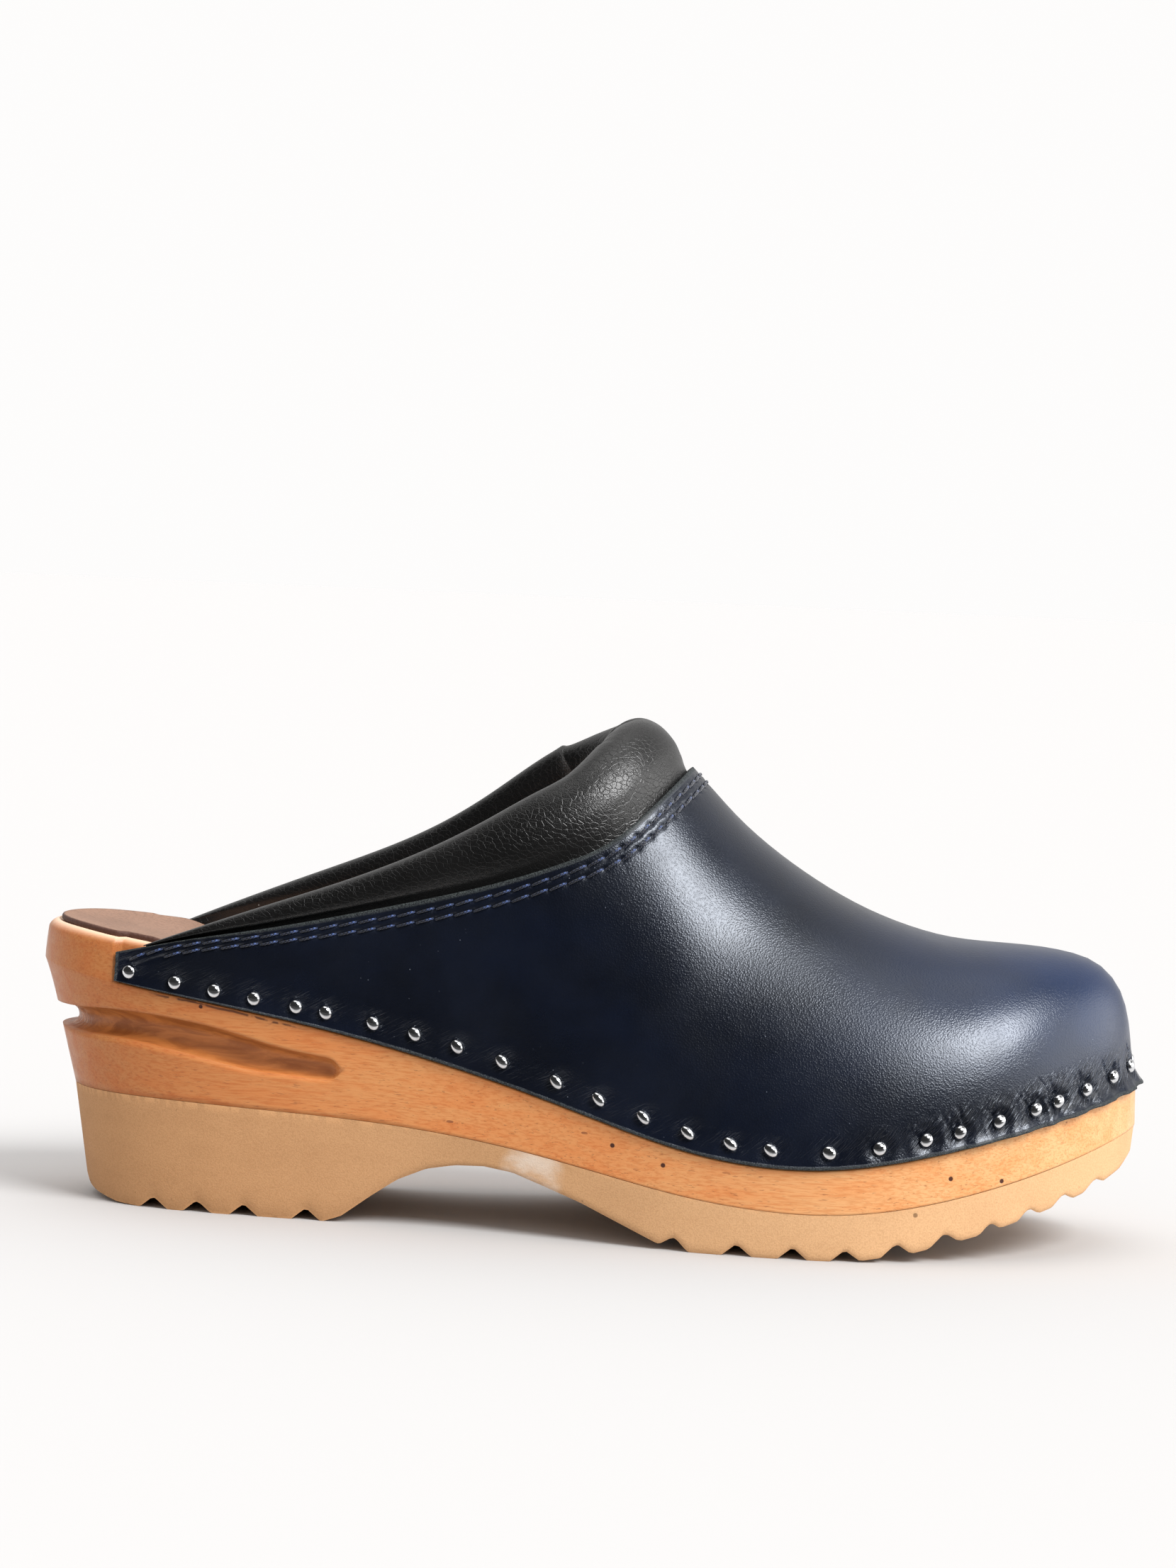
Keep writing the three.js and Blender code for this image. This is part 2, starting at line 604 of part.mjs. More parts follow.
/** Where the tacks stand: as hand-set on the outer side, then evenly round the toe and inner side. */
function tackPlaces() {
  const outer = OUTER_TACKS.map((percent) => edgePlace((percent * LENGTH) / 100));
  const rest = TACK_COUNT - outer.length;
  const fine = evenly(400, outer[outer.length - 1], -outer[0]);
  const runs = [0];
  for (let k = 1; k < fine.length; k++) {
    const step = basePoint(fine[k]).point.distanceTo(basePoint(fine[k - 1]).point);
    runs.push(runs[k - 1] + step);
  }
  const pitch = runs[runs.length - 1] / rest;
  const round = evenly(rest - 1, pitch, rest * pitch - 1e-3).map(
    (run) => fine[runs.findIndex((value) => value >= run)],
  );
  return [...outer, ...round].map((place) => {
    const column = columnLine(place);
    const distance = nailLine(basePoint(place).point.x);
    return {
      seat: pointOn(column, distance),
      outward: upperNormal(place, distance / column.length),
    };
  });
}

/** Turns a geometry made along +Y to stand along a direction at a point. */
function plant(geometry, point, direction) {
  const turn = new THREE.Quaternion().setFromUnitVectors(new THREE.Vector3(0, 1, 0), direction);
  geometry.applyQuaternion(turn);
  geometry.translate(point.x, point.y, point.z);
  return geometry;
}

/** Clearance hole for a tack's shank, through the vamp and into the wood. */
function shankHole({ seat, outward }) {
  const radius = TACK_SHANK / 2 + GAP;
  const depth = TACK_LENGTH + GAP;
  const hole = new THREE.CylinderGeometry(radius, radius, depth + 4, 6);
  hole.translate(0, (4 - depth) / 2, 0);
  return toSolid(plant(hole, seat, outward));
}

/** Domed head on a pointed shank, its underside resting just off the leather. */
function tack({ seat, outward }) {
  const head = TACK_HEAD / 2;
  const shank = TACK_SHANK / 2;
  const rise = GAP + 0.15;
  const dome = evenly(2, 0, Math.PI / 2).map(
    (a) => new THREE.Vector2(head * Math.cos(a), rise + TACK_DOME * Math.sin(a)),
  );
  dome[dome.length - 1].x = 0;
  const outlinePoints = [
    new THREE.Vector2(0, -TACK_LENGTH),
    new THREE.Vector2(shank, 2 - TACK_LENGTH),
    new THREE.Vector2(shank, rise),
    ...dome,
  ];
  return toGeometry(toSolid(plant(new THREE.LatheGeometry(outlinePoints, 6), seat, outward)));
}

// ---------------------------------------------------------------- collar
/** Places along the seam from one rear end of the opening to the other, ending at a distance x. */
function seamPlaces(count, start) {
  const share = (start - TAIL) / (THROAT - TAIL);
  const limit = (Math.acos(THREE.MathUtils.clamp(share, 0, 1)) / (Math.PI / 2)) ** (1 / 1.4);
  return evenly(count, -limit, limit);
}

/** Frame on the seam: the point, the way out of the leather, and the way up the leather. */
function seamFrame(place) {
  const at = (s) => {
    const column = columnLine(s);
    return pointOn(column, column.length);
  };
  const point = at(place);
  const ahead = at(place + 0.01).sub(at(place - 0.01)).normalize();
  const out = upperNormal(place, 1);
  const up = out.clone().cross(ahead).normalize();
  if (up.z < 0) up.negate();
  return { point, out, up };
}

/** Section of the collar as [up, out] points, from behind the vamp, over the top and down inside. */
function collarSection(x) {
  const height = collarHeight(x);
  const width = collarWidth(x);
  const behind = LEATHER + 1.5 * GAP;
  const flange = Math.min(FLANGE, 0.9 + 0.26 * Math.max(0, x - COLLAR_START));
  const bulge = THREE.MathUtils.smoothstep(height, 2, 14);
  return [
    [-flange, -behind],
    [GAP, -behind],
    [0.14 * height + 2 * GAP, -0.6 * behind * (1 - 0.6 * bulge) - 0.4],
    [0.38 * height, (0.12 * bulge - 0.07) * width],
    [0.66 * height, (0.15 * bulge - 0.08) * width],
    [0.9 * height, (0.1 * bulge - 0.18) * width],
    [height, -0.46 * width],
    [0.95 * height, -0.78 * width],
    [0.7 * height, -width],
    [0.3 * height, -1.04 * width],
    [-flange, -width],
  ];
}

/** The section moved inwards by a distance, square to its own line. */
function shrink(section, distance) {
  return section.map((p, k) => {
    const a = section[Math.max(0, k - 1)];
    const b = section[Math.min(section.length - 1, k + 1)];
    const length = Math.hypot(b[0] - a[0], b[1] - a[1]);
    const inward = [(b[1] - a[1]) / length, -(b[0] - a[0]) / length];
    return [p[0] + inward[0] * distance, p[1] + inward[1] * distance];
  });
}

function onFrame({ point, out, up }, [rise, offset]) {
  return point.clone().addScaledVector(up, rise).addScaledVector(out, offset);
}

function collarCover() {
  const front = [];
  const back = [];
  for (const place of seamPlaces(36, COLLAR_START)) {
    const frame = seamFrame(place);
    const section = collarSection(frame.point.x);
    front.push(section.map((p) => onFrame(frame, p)));
    back.push(shrink(section, COVER).map((p) => onFrame(frame, p)));
  }
  return toGeometry(toSolid(shell(front, back)));
}

function collarFoam() {
  const loops = seamPlaces(28, FOAM_START).map((place) => {
    const frame = seamFrame(place);
    const section = shrink(collarSection(frame.point.x), COVER + GAP).slice(2, -2);
    return section.map((p) => onFrame(frame, p));
  });
  return toGeometry(toSolid(tube(loops, true)));
}

// ---------------------------------------------------------------- seam threads
/** One row of sewing thread, lying along the vamp below its top edge. */
function seamThread(below, start) {
  const loops = seamPlaces(32, start).map((place) => {
    const column = columnLine(place);
    const share = 1 - below / column.length;
    const out = upperNormal(place, share);
    const middle = pointOn(column, share * column.length).addScaledVector(out, GAP + THREAD * 0.6);
    const up = pointOn(column, share * column.length + 1).sub(pointOn(column, share * column.length));
    up.normalize();
    const corner = (a, b) => middle.clone().addScaledVector(up, a).addScaledVector(out, b);
    const r = THREAD / 2;
    return [corner(r, 0), corner(0, r), corner(-r, 0), corner(0, -r)];
  });
  return toGeometry(toSolid(tube(loops, true)));
}

// ---------------------------------------------------------------- materials
const finish = (color, roughness, metalness = 0) =>
  new THREE.MeshStandardMaterial({ color, roughness, metalness });
const wood = finish(0xc98a55, 0.45);
const polyurethane = finish(0xb59468, 0.8);
const sockLeather = finish(0x8a5a44, 0.7);
const navyLeather = finish(0x101a33, 0.35);
const blackLeather = finish(0x161414, 0.4);
const foam = finish(0xd8cfb8, 0.95);
const thread = finish(0x1c2c5a, 0.7);
const nickel = finish(0xcfd2d6, 0.2, 1);

// ---------------------------------------------------------------- assembly
const clog = new THREE.Group();

function addPiece(name, geometry, material) {
  const mesh = new THREE.Mesh(geometry, material);
  mesh.name = name;
  clog.add(mesh);
}

const tacks = tackPlaces();
addPiece("wooden_sole", woodenSole(tacks), wood);
addPiece("outsole", outsole(), polyurethane);
addPiece("insole_sock", insoleSock(), sockLeather);
addPiece("vamp", vamp(tacks), navyLeather);
addPiece("collar_cover", collarCover(), blackLeather);
addPiece("collar_foam", collarFoam(), foam);
SEAM_ROWS.forEach((below, row) => {
  addPiece(`seam_thread_${row + 1}`, seamThread(below, ROW_STARTS[row]), thread);
});
tacks.forEach((spot, k) => {
  addPiece(`tack_${String(k + 1).padStart(2, "0")}`, tack(spot), nickel);
});

// The origin is on the floor, in the middle of the clog's own box.
const box = new THREE.Box3().setFromObject(clog);
const middle = box.getCenter(new THREE.Vector3());
clog.position.set(-middle.x, -middle.y, -box.min.z);

const model = new THREE.Group();
model.add(clog);

export default model;
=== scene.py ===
"""A wooden clog: fine surfaces of the sole, upper, collar, seams and tacks, laid on the CAD frame.

Every shape is drawn in millimetres with X from the heel to the toe, Y across and Z up, and is moved
into the frame's place and metres when its mesh is made. A turn runs from 0 at the heel to pi at the
toe, so that even steps of it draw both round ends evenly.
"""

import math

import bmesh
import bpy
import numpy as np
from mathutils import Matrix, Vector


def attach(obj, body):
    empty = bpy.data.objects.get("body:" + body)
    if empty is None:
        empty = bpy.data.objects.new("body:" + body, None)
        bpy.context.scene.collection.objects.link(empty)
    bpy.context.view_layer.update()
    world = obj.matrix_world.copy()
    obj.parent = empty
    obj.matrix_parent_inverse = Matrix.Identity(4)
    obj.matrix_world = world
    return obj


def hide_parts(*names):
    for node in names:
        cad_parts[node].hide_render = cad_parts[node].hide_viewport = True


bl_info = {
    "name": "Wooden clog",
    "version": (1, 0, 0),
    "blender": (4, 5, 0),
    "location": "3D View > Sidebar > Clog",
    "description": "Builds a nailed leather clog on its wooden sole",
    "category": "Add Mesh",
}

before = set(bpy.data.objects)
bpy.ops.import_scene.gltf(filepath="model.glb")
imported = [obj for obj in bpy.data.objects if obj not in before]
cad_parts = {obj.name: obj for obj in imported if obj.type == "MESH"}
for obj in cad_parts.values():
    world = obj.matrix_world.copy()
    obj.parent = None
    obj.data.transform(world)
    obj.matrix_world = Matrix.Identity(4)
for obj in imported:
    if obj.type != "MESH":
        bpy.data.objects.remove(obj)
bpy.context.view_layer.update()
MM = 0.001

# ------------------------------------------------------------------ sizes, mm
LENGTH = 268.0
HEEL_END, CENTRE_LINE = -134.049, 1.036  # the drawing's origin, in the frame
TOE_TUCK = 1.3  # the upper stops this far short of the wood's toe
WALL_LENGTH = LENGTH - TOE_TUCK
PROUD, EDGE_FLARE = 0.6, 1.0  # the upper past the wood, and its lower edge past the upper
TAIL, THROAT = 21.0, 156.5  # the ends of the vamp's top edge, from the heel
MEDIAL_RISE = 2.0  # the inner top edge stands this much higher at its middle
NAIL_BAND, BAND_LEAN = 8.0, 0.6  # the wood's band behind the nailed edge
BAND_START, BAND_FULL = 0.105 * LENGTH, 0.16 * LENGTH  # the heel's rim turns into it here
SEAM_SPREAD = 1.4  # over 1, places along the top edge crowd towards the throat
VAMP_SEAT = 2.0 - PROUD + 0.3  # the leather's thickness inside the wood's side, with room
RIM_BEVEL, HEEL_SWELL, HEEL_ZONE = 1.8, 1.2, 0.12 * LENGTH
SLOT_REACH, SLOT_ROUND, SLOT_DEPTH = 76.4, 3.6, 4.6
NOTCH_DEPTH, NOTCH_WIDTH, NOTCH_FLOOR = 2.5, 7.0, 0.5
SIDE_LEAN, HEEL_LEAN = 0.6, 4.0  # the outsole's wall goes in this far on its way down
SOCK_MARGIN = 1.0
SOCK_EDGE = [(0.25, 0.05), (0.0, 0.3), (0.0, 0.95), (0.22, 1.35), (0.6, 1.5)]  # inward, up
TREAD_GAP, TREAD_CORNER = 0.05, 0.45  # the outsole inside the wood, and its rounded foot
WOOD_LIFT, LEDGE_DROP = 0.04, 0.55  # the wood's side starts above the joint, ends below the ledge
RIM_INSET = 0.4
TACK_COUNT = 50
OUTER_TACKS = [
    9.1, 13.4, 17, 20.6, 24.4, 27.1, 31.4, 35.2, 39.1, 43.2, 48.2, 52.1, 56.2, 60.2, 64, 67.5,
    72.5, 76.8, 80.8, 83.7, 87.1, 90.3, 92.3, 94.9,
]
STITCH_ROWS = ((2.6, 25.0), (5.0, 36.0))  # below the top edge, and first stitch from the heel
STITCH_PITCH = 4.7
COLLAR_TAIL = 28.0

# the stage, in the frame's metres
FLOOR_REACH, FLOOR_GREY = 12.0, (0.466, 0.4615, 0.4605)
KEY_FROM, KEY_SPREAD, KEY_STRENGTH = (0.55, -0.46, 0.7), 27.0, 3.4
CAMERA_PLACE, CAMERA_TURN, LENS = (0.05292, -0.98979, 0.16429), (86.6541, -2.4658, 3.3751), 93.23

# marks on the sole, in the frame: points in mm, and a crack whose height is level + slope * x, in m
WOOD_PINHOLES = [(8.8, -42, 24), (21, -44.4, 20.3), (88.4, -42.5, 20.3), (100.5, -37.1, 19.6)]
HEEL_PIT, OUTSOLE_HOLE, CHALK_MARK = (-91.5, -31.2, 50.7), (80.5, -44.3, 11.6), (-10.3, -36, 15.6)
CRACK_LEVEL, CRACK_SLOPE = 34.9 * MM, -0.178


# ------------------------------------------------------------------ lines of the clog
class Line:
    """Natural cubic spline through its points, straight on past both ends.

    The bends at the points solve the usual three-term equations, so slope and bend run on smoothly.
    """

    def __init__(self, points):
        self.x, self.y = np.array(points, float).T
        x, y = self.x, self.y
        n, h = len(x), np.diff(x)
        system, right = np.eye(n), np.zeros(n)
        inner = np.arange(1, n - 1)
        system[inner, inner - 1] = h[:-1] / 6
        system[inner, inner] = (h[:-1] + h[1:]) / 3
        system[inner, inner + 1] = h[1:] / 6
        right[inner] = np.diff(y)[1:] / h[1:] - np.diff(y)[:-1] / h[:-1]
        self.bend = np.linalg.solve(system, right)

    def __call__(self, at):
        at = np.asarray(at, float)
        x, y, m = self.x, self.y, self.bend
        k = np.clip(np.searchsorted(x, at) - 1, 0, len(x) - 2)
        h = x[k + 1] - x[k]
        b = (at - x[k]) / h
        a = 1 - b
        inside = a * y[k] + b * y[k + 1]
        inside = inside + ((a**3 - a) * m[k] + (b**3 - b) * m[k + 1]) * h * h / 6
        rise = (y[k + 1] - y[k]) / h
        before = y[0] + (rise - h / 6 * (2 * m[k] + m[k + 1])) * (at - x[0])
        after = y[-1] + (rise + h / 6 * (m[k] + 2 * m[k + 1])) * (at - x[-1])
        return np.where(at < x[0], before, np.where(at > x[-1], after, inside))


def turn_of(share):
    """Turn at a share of the length: the angle whose cosine is 1 - 2 * share."""
    return np.arccos(1 - 2 * np.clip(share, 0, 1))


def share_of(turn):
    """Share of the length at a turn: (1 - cos(turn)) / 2."""
    return (1 - np.cos(turn)) / 2


def along(*points):
    """A line of (percent of the length, mm) points, as a function of the distance from the heel."""
    curve = Line([(p / 100, v) for p, v in points])
    return lambda x: curve(np.asarray(x, float) / LENGTH)


def rounded(*points, at_heel=0.0):
    """A line that falls to nothing at the toe, as a function of the turn."""
    inner = [(float(turn_of(p / 100)), v) for p, v in points]
    return Line([(0.0, at_heel), *inner, (math.pi, 0.0)])


def smooth(x, low, high):
    """0 below low, 1 above high, and 3t^2 - 2t^3 between them."""
    t = np.clip((np.asarray(x, float) - low) / (high - low), 0, 1)
    return t * t * (3 - 2 * t)


axis = along((0, 0), (40, 0.6), (75, 2.2), (100, 4))
outer_half = rounded(
    (1.5, 14), (4.5, 23), (9.3, 29.5), (16.8, 32.8), (28, 33.6), (37.3, 35.8), (48.5, 41.6),
    (59.7, 48.2), (68, 51.2), (75, 51.1), (82.1, 47.4), (89.6, 38.7), (95.1, 26.6), (98.5, 14.4),
)
inner_half = rounded(
    (1.5, 14), (4.5, 23), (9.3, 29.3), (16.8, 31.8), (28, 31.6), (37.3, 31.9), (48.5, 35.2),
    (59.7, 41), (68, 44.6), (75, 45.2), (82.1, 42.8), (89.6, 35.9), (95.1, 25.6), (98.5, 14.2),
)
tread_x, tread_z = np.array([
    (3.4, 3.9), (5.9, 1.7), (8, 0.4), (10.3, 0), (27.4, 0), (29, 1.5), (31.5, 6.6), (34, 11.3),
    (36.6, 14.4), (39.2, 15.8), (41.8, 16.1), (44.4, 15.2), (47.4, 12.5), (50.7, 9.4),
    (54.1, 5.5), (57.5, 1.6), (60, 0), (74.6, 0), (80.2, 2.6), (85.8, 6.6), (91.8, 12),
    (96, 16), (98.5, 19.5), (100, 24),
]).T * [[LENGTH / 100], [1.0]]
joint = along(
    (0, 27.8), (10, 27.5), (22, 26.2), (31, 24.9), (39, 22.9), (46, 20.2), (53, 16.6), (60, 13.1),
    (66, 11.3), (72, 10.9), (78, 12.4), (84, 15.7), (90, 20.2), (95, 24.6), (100, 29.4),
)
side = along(
    (0, 31), (8, 27.9), (23.5, 22.8), (36, 17.9), (49, 13.6), (60, 11.1), (68, 10.7), (80, 11.8),
    (92, 11.6), (100, 10.8),
)
heel_rim = along((0, 67.6), (3.5, 67), (6.5, 66.1), (10.5, 64.9))
crown = rounded(
    (8, 86), (22, 92), (37, 99), (45, 100.5), (52, 95.5), (58.4, 87), (62.7, 77.6), (66.8, 69.8),
    (70.6, 63.4), (74.6, 57), (78.7, 51.1), (82.5, 46.4), (86.6, 42.7), (90.3, 39.6), (94, 35.5),
    (96.3, 31.6), (98, 26.4), (99.2, 19.2), at_heel=84,
)
seam_line = along(
    (7.8, 62.3), (14, 66.3), (21, 69.9), (28, 74), (35, 78.6), (42, 83.9), (48, 89.8),
    (52.5, 96.4), (56, 105.6), (58.4, 112.5),
)
foot_inset = along(
    (0, 7.6), (6, 5.4), (14, 4.2), (28, 3.2), (45, 1.8), (60, 1), (85, 0.6), (100, -0.3)
)
cup = rounded((10, 2.4), (30, 3), (60, 3.5), (85, 2.8))
fullness = along((0, 2.6), (40, 2.6), (52, 2.3), (60, 2.08), (70, 2.15), (85, 2.5), (100, 2.6))
shoulder = along((0, 1.9), (40, 1.9), (52, 1.7), (60, 1.55), (70, 1.65), (85, 2.0), (100, 2.1))
nail_line = along((7, 2.9), (18, 3), (35, 4.8), (52, 5), (72, 3.9), (100, 4.6))
collar_height = along(
    (10, 0.4), (14, 2), (21.3, 5.4), (28.8, 8.2), (35, 11.2), (41.8, 15.9), (47, 19.1), (51, 20.3),
    (58.4, 19.7),
)
medial_collar = along((10, 0), (28, 0.5), (39, 2.2), (47, 4.9), (52, 5.8), (56, 2.8), (58.4, 0))
collar_width = along(
    (10, 2.2), (14, 4.2), (17, 5.4), (25, 7.2), (33, 8.2), (42, 9.4), (50, 11.4), (58.4, 13.5)
)
slot_top = along(
    (0, 47.6), (3.4, 47.9), (6.2, 48.3), (10.8, 48.3), (13.1, 47.6), (16, 46.3), (19.4, 44.4),
    (22.8, 42.2), (25.7, 40.7), (27.6, 39.3), (28.5, 37.8),
)
slot_foot = along(
    (0, 41.9), (5.1, 41.4), (8.6, 41.2), (11.9, 40.2), (15.3, 38.2), (18.5, 36.4), (21.6, 35.5),
    (24.8, 34.9), (27.4, 34.9), (28.5, 36.8),
)
# the tread's cuts, each with its place and how much of its full size it has
NOTCHES = [(p * LENGTH / 100, 0.72 if p > 85 else 1.0) for p in (
    11.7, 15.8, 20.1, 25.8, 59.1, 64.6, 69.5, 74.1, 78.5, 82.7, 86.7, 90.1, 93.2, 96.1,
)]


def unit(v):
    """Vectors over their own lengths."""
    return v / np.maximum(1e-9, np.linalg.norm(v, axis=-1, keepdims=True))


def lifted(plan, height):
    """Points of a plan at their heights."""
    return np.concatenate([plan, height[..., None]], -1)


def run_along(points):
    """Distance along each line of points, from its start."""
    step = np.linalg.norm(np.diff(points, axis=-2), axis=-1)
    return np.cumsum(np.concatenate([np.zeros((*step.shape[:-1], 1)), step], -1), -1)


def points_at(distance, run, line):
    """Points of a line at distances along it, where run is the distance of each given point."""
    return np.stack([np.interp(distance, run, line[:, k]) for k in range(3)], -1)


def grid_normals(points):
    """Normals of a grid of points: the steps along one way crossed with those along the other."""
    return unit(np.cross(np.gradient(points, axis=0), np.gradient(points, axis=1)))


def ledge(x):
    """Height of the vamp's lower edge: the joint's height plus the wooden side's."""
    return joint(x) + side(x)


def rim(x):
    """Height of the wood's rim: the heel's own, blended into a band above the ledge."""
    blend = smooth(x, BAND_START, BAND_FULL)
    return (1 - blend) * heel_rim(np.minimum(x, BAND_FULL)) + blend * (ledge(x) + NAIL_BAND)


def half_width(turn, sign):
    """Half width of the wood: the outer side's where sign is below 0, else the inner side's."""
    return np.where(np.asarray(sign) < 0, outer_half(turn), inner_half(turn))


def outline(turn, sign, inset):
    """Plan of the wood: the axis plus or minus the half width, moved in along its own normal."""

    def at(a):
        x = LENGTH * share_of(a)
        return np.stack([x, axis(x) + sign * half_width(a, sign)], -1)

    step = 1e-3
    run = unit(at(np.minimum(turn + step, math.pi)) - at(np.maximum(turn - step, 0)))
    across = np.stack([0 * turn, 1.0 * sign], -1)
    run = np.where((turn < step)[..., None], across, run)
    run = np.where((turn > math.pi - step)[..., None], -across, run)
    outward = np.stack([-run[..., 1] * sign, run[..., 0] * sign], -1)
    return at(turn) - outward * np.asarray(inset)[..., None]


def heel_share(x):
    """1 at the heel's end, falling to 0 where the heel's swell ends."""
    return smooth(HEEL_ZONE - x, 0, HEEL_ZONE)


def side_inset(x, share):
    """Lean of the wood's side: in towards the outsole, and a swell at the top of the heel."""
    lean = foot_inset(x) * np.maximum(0, 1 - share) ** 1.1
    return lean - heel_share(x) * HEEL_SWELL * share**6


# ------------------------------------------------------------------ upper
TAIL_TURN = float(turn_of(TAIL / WALL_LENGTH))


def upper_half(turn, sign):
    """Half width of the upper at its lower edge: the wood's, and a little proud but at the toe."""
    toe = smooth(turn, 0.75 * math.pi, math.pi)
    return half_width(turn, sign) + PROUD * (1 - toe) * np.minimum(1, 4 * np.sin(turn))


def dome_height(x, y):
    """Height of the upper over the plan: ledge + crown * (1 - across^fullness)^(1/shoulder)."""
    turn = turn_of(x / WALL_LENGTH)
    offset = y - axis(x)
    half = np.maximum(1e-6, upper_half(turn, np.where(offset < 0, -1, 1)))
    across = np.minimum(1, np.abs(offset) / half)
    return ledge(x) + crown(turn) * np.maximum(0, 1 - across ** fullness(x)) ** (1 / shoulder(x))


def seam_point(place):
    """Plan of the vamp's top edge; place runs -1 outer tail, 0 throat, 1 inner tail.

    It is where the dome's formula, solved for across, gives the top edge's height.
    """
    sign = np.where(place < 0, -1.0, 1.0)
    x = TAIL + (THROAT - TAIL) * np.cos(math.pi / 2 * np.abs(place) ** SEAM_SPREAD)
    turn = turn_of(x / WALL_LENGTH)
    share = (x - TAIL) / (THROAT - TAIL)
    rise = np.where(place > 0, MEDIAL_RISE * np.sin(math.pi * share), 0)
    top = ledge(THROAT) + crown(turn_of(THROAT / WALL_LENGTH))
    height = seam_line(x) + rise - (seam_line(THROAT) - top) * share**6 - ledge(x)
    dome = np.minimum(1, height / crown(turn))
    across = np.maximum(0, 1 - dome ** shoulder(x)) ** (1 / fullness(x))
    return np.stack([x, axis(x) + sign * across * upper_half(turn, sign)], -1)


def place_of(x):
    """Place along the top edge, on its inner side, at a distance from the heel."""
    share = (np.asarray(x, float) - TAIL) / (THROAT - TAIL)
    return (np.arccos(np.clip(share, 0, 1)) / (math.pi / 2)) ** (1 / SEAM_SPREAD)


def base_point(place):
    """Plan of the vamp's lower edge, and the direction that faces out there."""
    place = np.asarray(place, float)
    sign = np.where(place < 0, -1.0, 1.0)
    turn = math.pi - (math.pi - TAIL_TURN) * np.abs(place)

    def at(a):
        x = WALL_LENGTH * share_of(a)
        return np.stack([x, axis(x) + sign * upper_half(a, sign)], -1)

    run = at(np.minimum(turn + 1e-3, math.pi)) - at(turn - 1e-3)
    outward = unit(np.stack([-run[..., 1] * sign, run[..., 0] * sign], -1))
    outward = np.where((np.abs(place) < 1e-6)[..., None], np.array([1.0, 0.0]), outward)
    return at(turn), outward


class Columns:
    """Lines up the upper's surface, one for each place: from the lower edge to the seam.

    A line's plan goes straight from the lower edge to the seam, and its height is the dome's. The
    shown surface flares out at the lower edge by flare * exp(-distance / 2.5).
    """

    def __init__(self, place, steps=500):
        self.base, outward = base_point(place)
        top = seam_point(place)
        share = (1 - np.cos(math.pi / 2 * np.linspace(0, 1, steps + 1))) ** 1.5
        plan = self.base[:, None] + (top - self.base)[:, None] * share[None, :, None]
        self.raw = lifted(plan, dome_height(plan[..., 0], plan[..., 1]))
        self.run = run_along(self.raw)
        self.length = self.run[:, -1]
        toe = smooth(self.base[:, :1], 0.7 * LENGTH, LENGTH)
        flare = EDGE_FLARE * (0.3 + (1 + TOE_TUCK) * toe) * np.exp(-self.run / 2.5)
        self.shown = self.raw.copy()
        self.shown[..., :2] += outward[:, None] * flare[..., None]

    def at(self, distance, surface="shown"):
        """Points at distances up each line, distance[i, j] on line i."""
        distance = np.clip(distance, 0, self.length[:, None])
        offset = 1000.0 * np.arange(len(self.run))[:, None]
        line = getattr(self, surface).reshape(-1, 3)
        found = points_at((distance + offset).ravel(), (self.run + offset).ravel(), line)
        return found.reshape(*distance.shape, 3)


def edge_run(place):
    """Distance along the vamp's lower edge, from the outer tail, at each place."""
    fine = np.linspace(-1, 1, 4001)
    return np.interp(place, fine, run_along(base_point(fine)[0]))


def tack_places():
    """Listed along the outer side, then evenly by distance round the toe and the inner side."""
    x = np.array(OUTER_TACKS) * LENGTH / 100
    outer = -(math.pi - turn_of(x / WALL_LENGTH)) / (math.pi - TAIL_TURN)
    fine = np.linspace(outer[-1], -outer[0], 2000)
    run = edge_run(fine)
    rest = TACK_COUNT - len(outer)
    even = np.interp(np.linspace(run[0], run[-1], rest + 1)[1:], run, fine)
    return np.concatenate([outer, even])


def tack_seats():
    """Seat point, outward normal, direction along the edge and direction up, for each tack."""
    place = tack_places()
    distance = nail_line(base_point(place)[0][:, 0])[:, None]

    def on(p, d, surface="raw"):
        return Columns(p).at(d, surface)[:, 0]

    ahead = on(place + 0.004, distance) - on(place - 0.004, distance)
    up = on(place, distance + 0.3) - on(place, distance - 0.3)
    return on(place, distance, "shown"), unit(np.cross(ahead, up)), unit(ahead), unit(up)


# ------------------------------------------------------------------ meshes
def ring_faces(columns, around, closed_columns=False, closed_around=False):
    """Quads of a grid of columns by around points, wrapping either way when it is closed."""
    i = np.arange(columns if closed_columns else columns - 1)
    j = np.arange(around if closed_around else around - 1)
    i, j = (a.ravel() for a in np.meshgrid(i, j, indexing="ij"))
    i2, j2 = (i + 1) % columns, (j + 1) % around
    return np.stack([i * around + j, i2 * around + j, i2 * around + j2, i * around + j2], -1)


def end_faces(columns, around):
    """The two faces that close the ends of a tube."""
    ring = np.arange(around)
    return [ring[::-1].tolist(), (ring + (columns - 1) * around).tolist()]


def tube_copies(count, steps, around):
    """Quads of many tubes with the same grid, and the number of each tube's first point."""
    starts = np.arange(count)[:, None] * steps * around
    quads = ring_faces(steps, around, closed_around=True)
    return (quads + starts[..., None]).reshape(-1, 4), starts


def shell(wall, last, first):
    """Parts of a closed shell: its wall, and the sheets across the wall's last and first rows."""
    return [
        (wall, ring_faces(*wall.shape[:2], closed_columns=True)),
        (last, ring_faces(*last.shape[:2])),
        (first, ring_faces(*first.shape[:2])[:, ::-1]),
    ]


def on_shell(parts, *values):
    """An attribute's values over the parts of a shell."""
    spread = [np.broadcast_to(v, p.shape[:2]).ravel() for (p, _), v in zip(parts, values)]
    return np.concatenate(spread)


